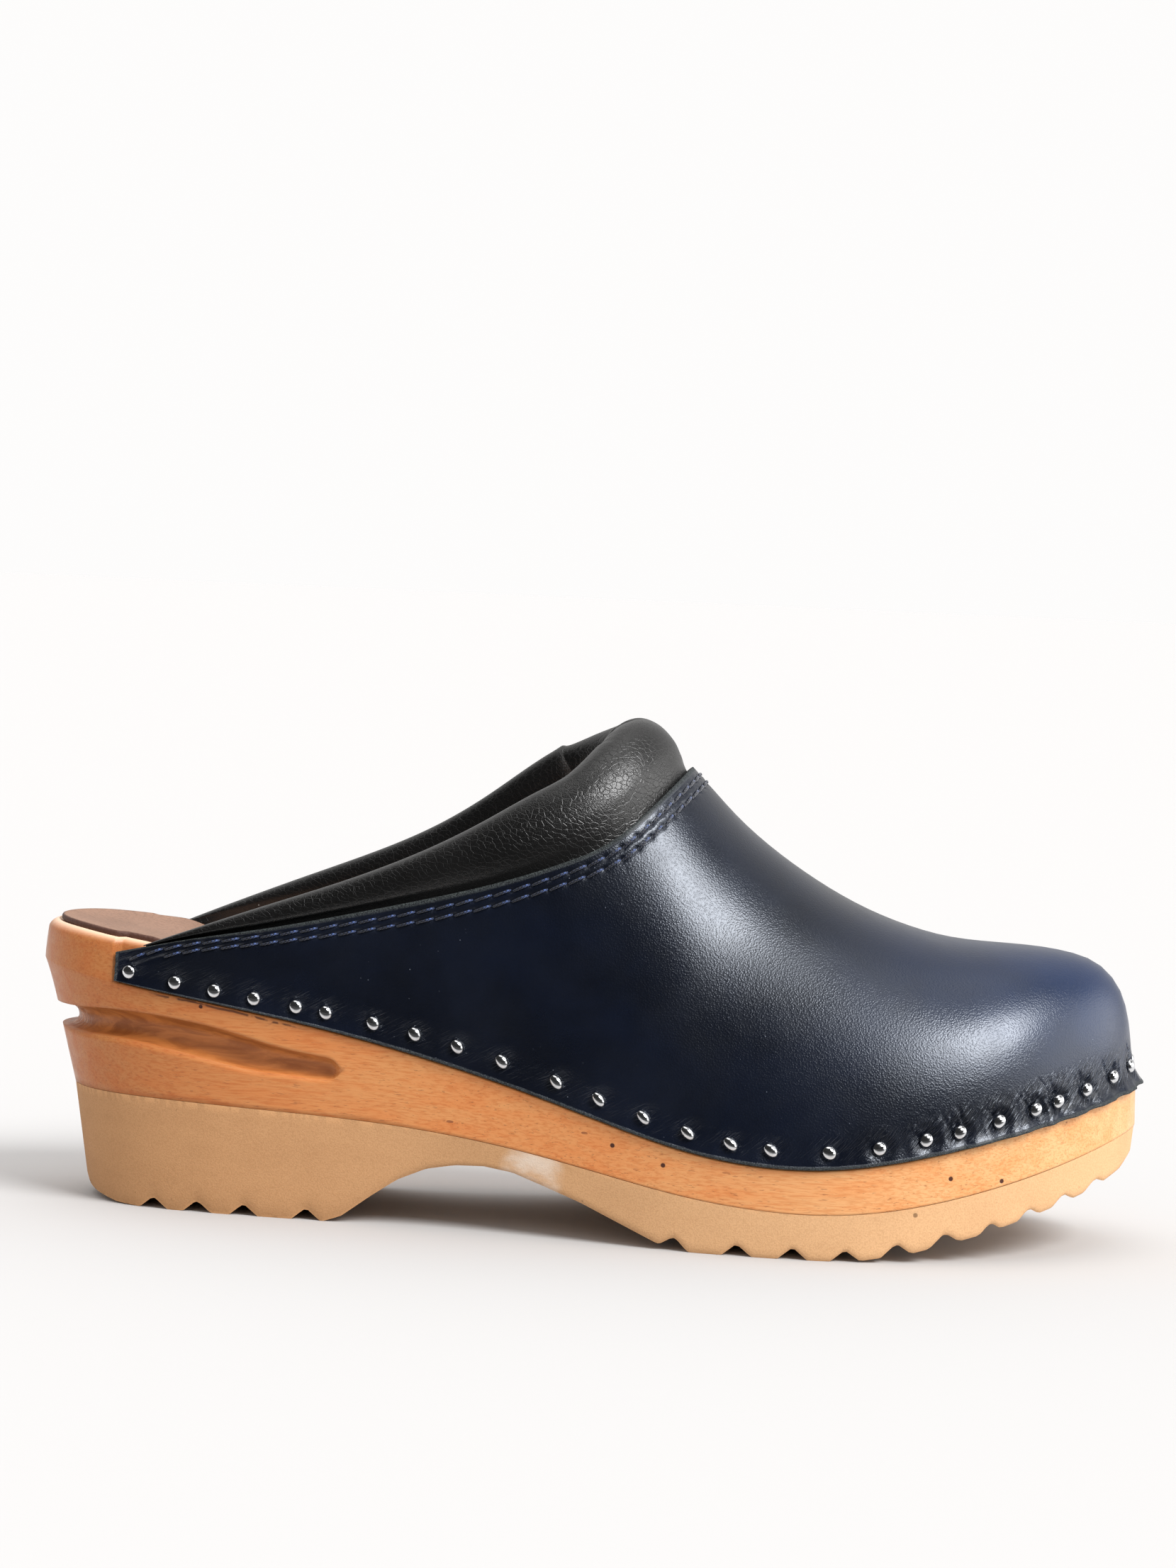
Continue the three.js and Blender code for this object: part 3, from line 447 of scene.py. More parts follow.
def across(ring, shares):
    """Sheet of straight lines between the two sides of a ring, each level with its outer end."""
    steps = len(ring) // 2
    outer = ring[: steps + 1]
    inner = np.concatenate([ring[:1], ring[:steps:-1], ring[steps : steps + 1]])
    share = np.asarray(shares)[:, None]
    sheet = outer[:, None] * (1 - share) + inner[:, None] * share
    sheet[..., 2] = sheet[:, :1, 2]
    return sheet


def hollowed(ring, shares):
    """Sheet over the footbed: the ring's height less cup * (1 - |2s - 1|^3), s running across."""
    sheet = across(ring, shares)
    depth = cup(np.linspace(0, math.pi, len(sheet)))[:, None]
    sheet[..., 2] -= depth * (1 - np.abs(2 * np.asarray(shares) - 1) ** 3)
    return sheet


def make_piece(name, parts, material, nodes, attributes=None, weld=False, extra=()):
    """One mesh object in the frame's place from (points, quads) parts, riding on the body.

    Point attributes are given for the points in order; extra faces are lists of point numbers.
    """
    starts = np.cumsum([0, *(p[..., 0].size for p, _ in parts[:-1])])
    points = np.concatenate([p.reshape(-1, 3) for p, _ in parts])
    points = (points + np.array([HEEL_END, CENTRE_LINE, 0.0])) * MM
    faces = np.concatenate([quads + start for (_, quads), start in zip(parts, starts)])
    mesh = bpy.data.meshes.new(name)
    mesh.from_pydata(points, [], [*faces.tolist(), *extra])
    for key, values in (attributes or {}).items():
        layer = mesh.attributes.new(key, "FLOAT", "POINT")
        layer.data.foreach_set("value", np.asarray(values, np.float32).ravel())
    if weld:
        work = bmesh.new()
        work.from_mesh(mesh)
        bmesh.ops.remove_doubles(work, verts=work.verts, dist=2e-6)
        bmesh.ops.dissolve_degenerate(work, edges=work.edges, dist=1e-7)
        bmesh.ops.recalc_face_normals(work, faces=work.faces)
        work.to_mesh(mesh)
        work.free()
    mesh.validate()
    mesh.update()
    if not mesh.polygons:
        raise RuntimeError(f"{name} has no faces")
    mesh.shade_smooth()
    mesh.materials.append(material)
    piece = bpy.data.objects.new(name, mesh)
    bpy.context.scene.collection.objects.link(piece)
    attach(piece, "root")
    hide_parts(*nodes)
    return piece


# ------------------------------------------------------------------ materials
class Tree:
    """Short calls for building a node tree."""

    def __init__(self, tree):
        self.tree = tree

    def add(self, kind, **settings):
        node = self.tree.nodes.new(kind)
        for key, value in settings.items():
            setattr(node, key, value)
        return node

    def feed(self, socket, value):
        """Link a socket to another, or set it; a colour may be given without its alpha."""
        if isinstance(value, bpy.types.NodeSocket):
            self.tree.links.new(value, socket)
        elif value is not None:
            short = socket.type == "RGBA" and len(value) == 3
            socket.default_value = (*value, 1.0) if short else value

    def wire(self, node, **inputs):
        """Feed a node's inputs by name, with _ for a space, and give its first output."""
        for key, value in inputs.items():
            self.feed(node.inputs[key.replace("_", " ")], value)
        return node.outputs[0]

    def fill(self, node, *values):
        """Feed a node's inputs in order, and give its first output."""
        for socket, value in zip(node.inputs, values):
            self.feed(socket, value)
        return node.outputs[0]

    def math(self, operation, a, b=None, c=None):
        return self.fill(self.add("ShaderNodeMath", operation=operation), a, b, c)

    def product(self, a, *others):
        for other in others:
            a = self.math("MULTIPLY", a, other)
        return a

    def ramp(self, value, low, high, to_low=0.0, to_high=1.0):
        node = self.add("ShaderNodeMapRange", interpolation_type="SMOOTHSTEP")
        return self.fill(node, value, low, high, to_low, to_high)

    def mix(self, share, a, b, blend="MIX"):
        node = self.add("ShaderNodeMix", data_type="RGBA", blend_type=blend)
        for index, value in ((0, share), (6, a), (7, b)):
            self.feed(node.inputs[index], value)
        return node.outputs[2]

    def grey(self, value):
        return self.fill(self.add("ShaderNodeCombineColor"), value, value, value)

    def axes(self, vector):
        node = self.add("ShaderNodeSeparateXYZ")
        self.fill(node, vector)
        return node.outputs

    def spot(self, place, point, radius):
        """1 close to a point, falling to 0 between 0.6 of a radius and the radius, all in mm."""
        node = self.add("ShaderNodeVectorMath", operation="DISTANCE")
        self.fill(node, place, [v * MM for v in point])
        return self.ramp(node.outputs["Value"], radius * MM, radius * MM * 0.6)

    def moved(self, vector, scale=(1, 1, 1), rotation=(0, 0, 0)):
        node = self.add("ShaderNodeMapping")
        return self.wire(node, Vector=vector, Scale=scale, Rotation=rotation)

    def noise(self, vector, scale, detail=2.0, roughness=0.5, distortion=0.0):
        return self.wire(
            self.add("ShaderNodeTexNoise"), Vector=vector, Scale=scale, Detail=detail,
            Roughness=roughness, Distortion=distortion,
        )

    def cells(self, vector, scale, feature="F1"):
        node = self.add("ShaderNodeTexVoronoi", feature=feature)
        return self.wire(node, Vector=vector, Scale=scale)

    def attribute(self, name):
        return self.add("ShaderNodeAttribute", attribute_name=name).outputs["Fac"]

    def object_place(self):
        return self.add("ShaderNodeTexCoord").outputs["Object"]

    def bump(self, height, strength, distance, normal=None):
        return self.wire(
            self.add("ShaderNodeBump"), Height=height, Strength=strength, Distance=distance,
            Normal=normal,
        )

    def group(self, group, **inputs):
        return self.wire(self.add("ShaderNodeGroup", node_tree=group), **inputs)


def new_group(name, numbers, output):
    """A shader node group with a Vector, some numbers and one output, and the Tree inside it."""
    group = bpy.data.node_groups.new(name, "ShaderNodeTree")
    group.interface.new_socket("Vector", in_out="INPUT", socket_type="NodeSocketVector")
    for key, default in numbers.items():
        socket = group.interface.new_socket(key, in_out="INPUT", socket_type="NodeSocketFloat")
        socket.default_value = default
    group.interface.new_socket(output, in_out="OUTPUT", socket_type="NodeSocketFloat")
    t = Tree(group)
    return group, t, t.add("NodeGroupInput").outputs, t.add("NodeGroupOutput")


def grain_group():
    """Leather grain: small cells with soft valleys, crossed by finer noise. Puts out a height."""
    found = bpy.data.node_groups.get("leather_grain")
    if found:
        return found
    numbers = {"Cell": 2200.0, "Crease": 0.3}
    group, t, given, made = new_group("leather_grain", numbers, "Height")
    place, cell = given["Vector"], given["Cell"]
    pores = t.ramp(t.cells(place, cell), 0.0, 0.75, 1.0, 0.0)
    fine = t.noise(place, t.product(cell, 1.7), 3.0, 0.6)
    turned = t.moved(place, (1, 1, 1.4), (0, 0.5, 0.2))
    creases = t.ramp(t.cells(turned, 640.0, "DISTANCE_TO_EDGE"), 0.0, 0.07)
    creases = t.product(t.math("SUBTRACT", creases, 1.0), given["Crease"])
    height = t.math("ADD", t.product(pores, 0.55), t.product(fine, 0.5))
    t.feed(made.inputs["Height"], t.math("ADD", height, creases))
    return group


def speck_group():
    """Scattered specks: the middles of large random cells, thinned out by a slow noise."""
    found = bpy.data.node_groups.get("scattered_specks")
    if found:
        return found
    numbers = {"Spacing": 150.0, "Size": 0.06}
    group, t, given, made = new_group("scattered_specks", numbers, "Mask")
    near = t.math("LESS_THAN", t.cells(given["Vector"], given["Spacing"]), given["Size"])
    thin = t.ramp(t.noise(given["Vector"], 40.0, 2.0), 0.5, 0.6)
    t.feed(made.inputs["Mask"], t.product(near, thin))
    return group


def new_material(name, **constants):
    """A material with a Principled shader; numbers that are the same all over are set on it."""
    material = bpy.data.materials.new(name)
    material.use_nodes = True
    t, shader = Tree(material.node_tree), material.node_tree.nodes["Principled BSDF"]
    t.wire(shader, **constants)
    return material, t, shader


def times(colour, factor):
    """A colour made lighter or darker by one factor, or by one for each channel."""
    return np.multiply(colour, factor).tolist()


def wood_material(colour):
    """Lacquered alder: fibres and growth lines along the foot, pores, flecks, a dark slot, and
    painted light and shade.
    """
    material, t, shader = new_material(
        "lacquered_wood", Coat_Weight=0.1, Coat_Roughness=0.25, Specular_IOR_Level=0.3
    )
    place = t.object_place()
    x, _, z = t.axes(place)
    # painted light: darker towards the heel as painted shade, paler and less saturated towards the
    # toe as painted light from the toe's side
    base = t.mix(t.ramp(x, -0.125, -0.01), times(colour, (0.65, 0.57, 0.49)), colour)
    base = t.mix(t.ramp(x, -0.01, 0.12), base, times(colour, (1.02, 1.34, 1.75)))
    fibres = t.noise(t.moved(place, (1, 13, 13), (0, 0.05, 0)), 170.0, 3.0, 0.6, 0.2)
    streaks = t.noise(t.moved(place, (1, 8, 8), (0, 0.04, 0)), 30.0, 5.0, 0.62, 0.5)
    pores = t.noise(t.moved(place, (1, 9, 9)), 300.0, 2.0, 0.7)
    base = t.mix(t.ramp(streaks, 0.34, 0.66), base, (1, 0.84, 0.72), "MULTIPLY")
    base = t.mix(t.ramp(fibres, 0.42, 0.66, 0.0, 0.8), base, (0.86, 0.7, 0.58), "MULTIPLY")
    base = t.mix(t.ramp(pores, 0.6, 0.72, 0.0, 0.55), base, (0.2, 0.065, 0.025))
    stretched = t.moved(place, (1, 3.4, 3.4))
    flecks = t.group(speck_group(), Vector=stretched, Spacing=80.0, Size=0.085)
    base = t.mix(t.product(flecks, 0.8), base, (0.2, 0.055, 0.022))
    # a hairline crack slopes down behind the slot, wandering a little and broken here and there
    crack_at = t.math("MULTIPLY_ADD", x, CRACK_SLOPE, CRACK_LEVEL)
    wander = t.math("MULTIPLY_ADD", t.noise(place, 110.0, 3.0), 0.0016, -0.0008)
    off = t.math("ABSOLUTE", t.math("SUBTRACT", t.math("SUBTRACT", z, crack_at), wander))
    crack = t.product(
        t.ramp(off, 0.00042, 0.00012), t.ramp(t.noise(place, 260.0), 0.42, 0.5),
        t.ramp(x, -0.106, -0.1), t.ramp(x, -0.064, -0.072), 0.8,
    )
    marks = t.math("MAXIMUM", crack, t.spot(place, HEEL_PIT, 0.6))
    for point in WOOD_PINHOLES:
        marks = t.math("MAXIMUM", marks, t.spot(place, point, 0.7))
    base = t.mix(marks, base, (0.07, 0.02, 0.01))
    # the slot darkens with its depth: partly a darker stain in it, partly painted shade in the
    # recess
    slot = t.attribute("slot")
    brown = t.ramp(t.noise(t.moved(place, (1, 5, 5)), 60.0, 4.0, 0.6, 0.8), 0.35, 0.65)
    brown = t.mix(brown, (0.25, 0.075, 0.018), (0.46, 0.16, 0.042))
    base = t.mix(t.ramp(slot, 0.05, 0.6, 0.0, 0.9), base, brown)
    chalk = t.ramp(t.noise(place, 700.0, 3.0, 0.7), 0.5, 0.62)
    chalk = t.product(chalk, slot, t.ramp(x, -0.118, -0.131, 0.0, 0.8))
    base = t.mix(chalk, base, (0.75, 0.62, 0.5))
    # paler up the rim's bevel, most at its top: partly raw sanded wood, partly a painted highlight
    base = t.mix(t.product(t.attribute("bevel"), 0.75), base, (0.9, 0.68, 0.5))
    height = t.math("ADD", t.product(fibres, -0.6), t.product(pores, -0.5))
    height = t.math("SUBTRACT", height, t.product(marks, 2.0))
    t.wire(
        shader, Base_Color=base, Roughness=t.ramp(streaks, 0.2, 0.8, 0.32, 0.48),
        Normal=t.bump(height, 0.4, 0.00014),
    )
    return material


def outsole_material(colour):
    """Matt moulded polyurethane: fine sandy skin, faint marks, a few pin holes, and painted light.
    """
    material, t, shader = new_material(
        "moulded_polyurethane", Roughness=0.78, Specular_IOR_Level=0.3
    )
    place = t.object_place()
    sand = t.noise(place, 2600.0, 3.0, 0.6)
    cloud = t.noise(t.moved(place, (1, 2, 2)), 45.0, 4.0, 0.6)
    pale = times(colour, (1.12, 1.25, 1.4))
    # painted light: darker towards the heel as painted shade, paler towards the toe as painted
    # light from the toe's side
    base = t.mix(t.ramp(t.axes(place)[0], -0.1, 0.1), times(colour, 0.82), pale)
    base = t.mix(t.ramp(cloud, 0.35, 0.7, 0.0, 0.6), base, (0.88, 0.86, 0.84), "MULTIPLY")
    base = t.mix(t.ramp(sand, 0.4, 0.65, 0.0, 0.55), base, (0.8, 0.76, 0.7), "MULTIPLY")
    hole = t.product(t.spot(place, OUTSOLE_HOLE, 0.7), 0.8)
    base = t.mix(hole, base, times(colour, 0.3))
    chalky = t.product(t.spot(place, CHALK_MARK, 9.0), t.ramp(cloud, 0.4, 0.6, 0.1, 0.55))
    base = t.mix(chalky, base, (0.8, 0.74, 0.66))
    pits = t.group(speck_group(), Vector=place, Spacing=230.0, Size=0.07)
    base = t.mix(t.product(pits, 0.6), base, times(colour, 0.35))
    # painted highlight: paler along the wall's top row and its rounded foot
    base = t.mix(t.product(t.attribute("edge"), 0.3), base, times(colour, 1.35))
    t.wire(shader, Base_Color=base, Normal=t.bump(sand, 0.5, 0.00018))
    return material


def sock_material(colour):
    """Pebbled brown leather, with a dark burnished edge and soft random clouding over the footbed.
    """
    material, t, shader = new_material(
        "pebbled_sock_leather", Roughness=0.62, Specular_IOR_Level=0.4
    )
    place = t.object_place()
    grain = t.group(grain_group(), Vector=place, Cell=1100.0, Crease=0.25)
    cloud = t.noise(place, 60.0, 3.0, 0.6)
    base = t.mix(t.ramp(cloud, 0.3, 0.7), times(colour, 0.9), times(colour, 1.12))
    base = t.mix(t.ramp(grain, 0.45, 0.05, 0.0, 0.4), base, times(colour, 0.6))
    base = t.mix(t.attribute("edge"), base, (0.075, 0.028, 0.018))
    t.wire(shader, Base_Color=base, Normal=t.bump(grain, 0.55, 0.0003))
    return material


def vamp_material(colour):
    """Polished navy leather: fine pebbling, clouded depth, cut edges of dark fuzzy fibre, and
    painted light over the toe's top.

    Round the tacks the surface puckers: ridges of a slow noise that run up from the lower edge,
    leaning back as they rise.
    """
    material, t, shader = new_material(
        "polished_navy_leather", Specular_IOR_Level=0.68, Coat_Weight=0.12, Coat_Roughness=0.22,
        Specular_Tint=(0.84, 0.9, 1.0),
    )
    place = t.object_place()
    grain = t.group(grain_group(), Vector=place, Cell=2000.0, Crease=0.12)
    cloud = t.noise(place, 28.0, 4.0, 0.6, 0.3)
    base = t.mix(t.ramp(cloud, 0.35, 0.7), times(colour, 0.7), times(colour, 1.35))
    x, _, z = t.axes(place)
    # paler, bluer navy over the toe's top: partly polished patches in the leather, partly painted
    # light from the toe's side
    toe_polish_and_light = t.product(
        t.ramp(x, 0.05, 0.12), t.ramp(z, 0.036, 0.062), t.ramp(cloud, 0.25, 0.6, 0.6, 1.0)
    )
    base = t.mix(toe_polish_and_light, base, times(colour, (3.4, 5.0, 5.6)))
    dust = t.group(speck_group(), Vector=place, Spacing=420.0, Size=0.05)
    base = t.mix(t.product(dust, 0.4), base, (0.3, 0.33, 0.4))
    fibre, cut = t.noise(place, 3200.0, 3.0, 0.7), t.attribute("cut")
    fuzz = t.mix(t.ramp(fibre, 0.4, 0.68), (0.004, 0.005, 0.005), (0.055, 0.066, 0.062))
    base = t.mix(cut, base, fuzz)
    gloss = t.ramp(t.noise(place, 50.0, 3.0, 0.6), 0.3, 0.7, 0.27, 0.34)
    rise = t.attribute("rise")
    lean = t.math("SUBTRACT", t.attribute("run"), t.product(rise, 1.25))
    local = t.fill(t.add("ShaderNodeCombineXYZ"), lean, t.product(rise, 0.2))
    waves = t.math("SUBTRACT", t.noise(local, 0.95, 2.0, 0.5, 0.5), 0.5)
    valleys = t.ramp(t.math("ABSOLUTE", waves), 0.0, 0.09, -0.8, 0.0)
    folds = t.product(t.math("ADD", valleys, t.product(waves, 3.0)), t.attribute("pucker"))
    folded = t.bump(folds, 1.0, 0.0009, t.bump(grain, 0.36, 0.00015))
    t.wire(
        shader, Base_Color=base, Roughness=t.math("MAXIMUM", gloss, t.product(cut, 0.9)),
        Normal=t.bump(t.product(fibre, cut), 0.9, 0.0004, folded),
    )
    return material


def collar_material(colour):
    """Soft black leather: finely cracked grain with stretch lines across the roll."""
    material, t, shader = new_material("soft_black_leather", Specular_IOR_Level=0.72)
    place = t.object_place()
    grain = t.group(grain_group(), Vector=place, Cell=3000.0, Crease=1.3)
    stretch = t.noise(t.moved(place, (3, 2, 0.6), (0, 0.55, 0)), 420.0, 4.0, 0.65, 1.2)
    cloud = t.ramp(t.noise(place, 40.0, 3.0), 0.3, 0.7)
    base = t.mix(cloud, times(colour, 0.8), times(colour, 1.5))
    dust = t.group(speck_group(), Vector=place, Spacing=240.0, Size=0.05)
    base = t.mix(t.product(dust, 0.5), base, (0.3, 0.3, 0.29))
    height = t.math("ADD", grain, t.product(stretch, 0.9))
    t.wire(
        shader, Base_Color=base, Roughness=t.ramp(grain, 0.2, 0.8, 0.34, 0.25),
        Normal=t.bump(height, 0.3, 0.00017),
    )
    return material


def thread_material(colour):
    """Waxed navy thread, its twist a fine stripe along each stitch, with a painted glint at one
    end.
    """
    material, t, shader = new_material("waxed_thread", Roughness=0.42, Sheen_Weight=0.3)
    twist = t.math("SINE", t.product(t.attribute("twist"), 6.2832))
    base = t.mix(t.ramp(twist, -1.0, 1.0), times(colour, 0.3), times(colour, 1.6))
    # painted highlight: darker over the first half of each stitch, brightening into a painted glint
    # at its far end
    painted_glint = t.grey(t.ramp(t.attribute("share"), 0.45, 0.95, 0.25, 2.2))
    base = t.mix(1.0, base, painted_glint, "MULTIPLY")
    t.wire(shader, Base_Color=base, Normal=t.bump(twist, 0.5, 0.0001))
    return material


def nickel_material(colour):
    """Bright nickel plate with a faint haze of handling marks."""
    material, t, shader = new_material("bright_nickel", Metallic=1.0)
    haze = t.noise(t.object_place(), 900.0, 3.0, 0.6)
    base = t.mix(t.ramp(haze, 0.35, 0.7), colour, times(colour, 0.82))
    t.wire(
        shader, Base_Color=base, Roughness=t.ramp(haze, 0.3, 0.7, 0.08, 0.2),
        Normal=t.bump(haze, 0.12, 0.00015),
    )
    return material


def floor_material(colour):
    """Matt pale floor; in reflections it darkens away from the clog, as if flagged in front."""
    material, t, shader = new_material("pale_floor", Roughness=1.0, Specular_IOR_Level=0.0)
    t.wire(shader, Base_Color=colour)
    far = t.ramp(t.axes(t.object_place())[1], -0.06, -0.14, 0.0, 0.97)
    flagged = t.product(far, t.add("ShaderNodeLightPath").outputs["Is Glossy Ray"])
    dark = t.wire(t.add("ShaderNodeBsdfDiffuse"), Color=(0.02, 0.02, 0.02))
    mixed = t.fill(t.add("ShaderNodeMixShader"), flagged, shader.outputs[0], dark)
    t.feed(material.node_tree.nodes["Material Output"].inputs[0], mixed)
    return material


# ------------------------------------------------------------------ sole
def perimeter(turn):
    """Turn and side of each column round the sole: up the outer side, back down the inner side."""
    back = turn[-2:0:-1]
    return np.concatenate([turn, back]), np.repeat([-1.0, 1.0], [len(turn), len(back)])


def nail_seat(x):
    """How far the wood is cut back under the vamp, and the lean of its band, from the tail on."""
    covered = smooth(x, TAIL - 0.45, TAIL - 0.25)
    toe = smooth(x, 0.9 * LENGTH, LENGTH)
    return covered * (VAMP_SEAT + toe * (TOE_TUCK + PROUD)), covered * BAND_LEAN


def slot_lines(x, sign, low, high):
    """Foot, top and depth of the slot: hand-cut edges that wave a little and end in a round.

    Past the end the depth is 0, and the two lines run on between low and high for the wall's rows.
    """
    left = np.clip((SLOT_REACH - x) / SLOT_ROUND, 0, 1)
    end = np.sqrt(left * (2 - left))
    wave = 0.22 * np.sin(x / 5.1 + sign) * smooth(x, 4, 20)
    past = smooth(x, SLOT_REACH, SLOT_REACH + 26)
    held = np.minimum(x, SLOT_REACH - 1.4 * SLOT_ROUND)
    middle = (slot_top(held) + slot_foot(held)) / 2 - 0.12 * (np.minimum(x, SLOT_REACH) - held)
    reach = (slot_top(held) - slot_foot(held)) / 2 * np.maximum(end, 0.12)
    middle = (1 - past) * middle + past * (low + high) / 2
    middle = np.clip(middle, low + 2.2, high - 2.2)
    reach = (1 - past) * reach + past * 0.16 * (high - low)
    depth = SLOT_DEPTH * (1 - 0.5 * np.clip(x / SLOT_REACH, 0, 1) ** 2) * end * (1 - past)
    return middle - reach + wave, middle + reach + wave * 0.7, depth


def wood_wall(turn, sign):
    """Side of the wood, from the joint up to the rim, with its slot and bevel masks.

    A row's inset is the side's lean; inside the slot it gains depth * (1 - |2v - 1|^2.6)^0.62,
    where v is the share of the slot's height.
    """
    x = LENGTH * share_of(turn)
    low, high = joint(x) + WOOD_LIFT, ledge(x) - LEDGE_DROP
    foot, top, deep = slot_lines(x, sign, low, high)
    rows, masks = [], []

    def row(height, inset, depth=0.0, bevel=0.0):
        rows.append(lifted(outline(turn, sign, inset + depth), height))
        masks.append((depth / SLOT_DEPTH + 0 * x, bevel + 0 * x))

    def lean(height):
        return side_inset(x, np.clip((height - low) / (side(x) + 0.2), 0, 1))

    for v in np.linspace(0, 1, 9)[:-1]:
        height = low + v * (foot - low)
        row(height, lean(height))
    for v in np.linspace(0, 1, 25):
        height = foot + v * (top - foot)
        row(height, lean(height), deep * max(0.0, 1 - abs(2 * v - 1) ** 2.6) ** 0.62)
    for v in np.linspace(0, 1, 11)[1:]:
        height = top + v * (high - top)
        row(height, lean(height))
    seat, band = nail_seat(x)
    row(high + 0.05, lean(high) + seat)
    swell = 0.55 * HEEL_SWELL * heel_share(x)
    shoulder_z = rim(x) - RIM_BEVEL
    for v in np.linspace(0, 1, 8)[1:]:
        inset = seat + v * band + (1 - v**1.5) * lean(high) - v**1.5 * (swell - RIM_INSET)
        row(high + v * (shoulder_z - high), inset)
    for a in np.linspace(0, math.pi / 2, 7)[1:]:
        inset = seat + band + RIM_INSET + RIM_BEVEL * (1 - math.cos(a))
        inset = inset - swell * (1 - math.sin(a))
        row(shoulder_z + RIM_BEVEL * math.sin(a), inset, bevel=math.sin(a) ** 2)
    return np.stack(rows, 1), *np.array(masks).transpose(1, 2, 0)


def build_wood(material):
    """The wooden sole: its side, the hollowed footbed above and a level foot below."""
    turn, sign = perimeter(np.linspace(0, math.pi, 401))
    wall, slot, bevel = wood_wall(turn, sign)
    bed = hollowed(wall[:, -1], share_of(np.linspace(0, math.pi, 33)))
    parts = shell(wall, bed, across(wall[:, 0], np.linspace(0, 1, 9)))
    attributes = {"slot": on_shell(parts, slot, 0, 0), "bevel": on_shell(parts, bevel, 1, 0)}
    return make_piece(
        "wooden_sole_carved", parts, material, ["wooden_sole"], attributes, weld=True
    )


def tread_line(x):
    """Height of the tread without its cuts: straight between its points."""
    return np.interp(x, tread_x, tread_z)


def tread_height(x):
    """Underside: the tread line with V cuts, each depth * (1 - distance / half width)."""
    z = tread_line(x)
    for middle, size in NOTCHES:
        reach = NOTCH_WIDTH / 2 * size
        vee = np.clip((reach - np.abs(x - middle)) / (reach - NOTCH_FLOOR), 0, 1)
        z = z + NOTCH_DEPTH * size * vee
    return z


def outsole_places():
    """Distances from the heel of the outsole's columns: fine round both ends and at each cut."""
    turns = LENGTH * share_of(np.linspace(0, math.pi, 261))
    reach = NOTCH_WIDTH / 2
    keys = [*tread_x]
    for middle, size in NOTCHES:
        corners = (reach * size, NOTCH_FLOOR, 0.4 * reach)
        keys += [middle + s * r for s in (-1, 1) for r in corners]
    keys = np.sort(keys)
    gap = np.abs(turns[:, None] - keys).min(1)
    return np.unique(np.round(np.concatenate([turns[gap > 0.25], keys[keys < LENGTH]]), 4))


def build_outsole(material):
    """The outsole: a wall from the joint down to the tread, and the cut underside between.

    The wall leans in by its share of the way down, and where a cut leaves it shorter it stops on
    the same slope.
    """
    turn = turn_of(np.clip(outsole_places() / LENGTH, 0, 1))
    turn[0], turn[-1] = 0.0, math.pi
    turn, sign = perimeter(turn)
    inset = foot_inset(LENGTH * share_of(turn))
    heel = smooth(0.35 * LENGTH - outline(turn, sign, inset)[:, 0], 0, 0.3 * LENGTH)
    lean = SIDE_LEAN + heel * (HEEL_LEAN - SIDE_LEAN)
    foot = outline(turn, sign, inset + lean + TREAD_CORNER + TREAD_GAP)
    foot_x, foot_z = foot[:, 0], tread_height(foot[:, 0])
    left = (joint(foot_x) - foot_z) / (joint(foot_x) - tread_line(foot_x))
    rows = []
    for share in (0, 0.08, 0.2, 0.35, 0.5, 0.65, 0.8, 0.9, 0.97, 1.0):
        corner = TREAD_CORNER * max(0.0, (share - 0.9) / 0.1) ** 2
        plan = outline(turn, sign, inset + lean * share * left + corner + TREAD_GAP)
        top = joint(plan[:, 0]) - 0.03
        rows.append(lifted(plan, top + (foot_z - top) * share))
    wall = np.stack([*rows, lifted(foot, foot_z)], 1)
    under = across(wall[:, -1], np.linspace(0, 1, 13))
    under[..., 2] = tread_height(under[..., 0])
    parts = shell(wall, under, across(wall[:, 0], np.linspace(0, 1, 5)))
    # rows that take the painted highlight: the wall's top row and the two rows of its rounded foot
    edge_highlight = np.zeros(wall.shape[1])
    edge_highlight[[0, -2, -1]] = 1
    attributes = {"edge": on_shell(parts, edge_highlight, 0, 0)}
    piece = make_piece(
        "moulded_outsole", parts, material, ["outsole"], attributes, weld=True
    )
    piece.data.set_sharp_from_angle(angle=math.radians(35))
    return piece


def build_sock(material):
    """Sock leather: a sheet over the footbed with a rounded burnished edge."""
    turn, sign = perimeter(np.linspace(0, math.pi, 201))
    inset = sum(nail_seat(LENGTH * share_of(turn))) + RIM_BEVEL + SOCK_MARGIN

    def ring(inward, up):
        plan = outline(turn, sign, inset + inward)
        return lifted(plan, rim(plan[:, 0]) + up)

    skirt = np.stack([ring(*corner) for corner in SOCK_EDGE], 1)
    top = hollowed(skirt[:, -1], np.linspace(0, 1, 41))
    parts = shell(skirt, top, hollowed(skirt[:, 0], np.linspace(0, 1, 7)))
    attributes = {"edge": on_shell(parts, [1.0, 1.0, 1.0, 0.9, 0.35], 0, 0)}
    return make_piece(
        "sock_sheet", parts, material, ["insole_sock"], attributes, weld=True
    )


# ------------------------------------------------------------------ vamp and its seam
def stitch_row(below, start):
    """A row of stitches: its columns, line and run, and the stitches' middles and spacing."""
    limit = float(place_of(start))
    columns = Columns(np.linspace(-limit, limit, 3001), 160)
    line = columns.at((columns.length - below)[:, None], "raw")[:, 0]
    run = run_along(line)
    count = int(run[-1] / STITCH_PITCH)
    return columns, line, run, (np.arange(count) + 0.5) * run[-1] / count, run[-1] / count


def needle_holes():
    """Points where the thread goes through the leather, between one stitch and the next."""
    holes = []
    for row in STITCH_ROWS:
        _, line, run, middle, pitch = stitch_row(*row)
        holes.append(points_at(np.append(middle - pitch / 2, run[-1]), run, line))
    return np.concatenate(holes)


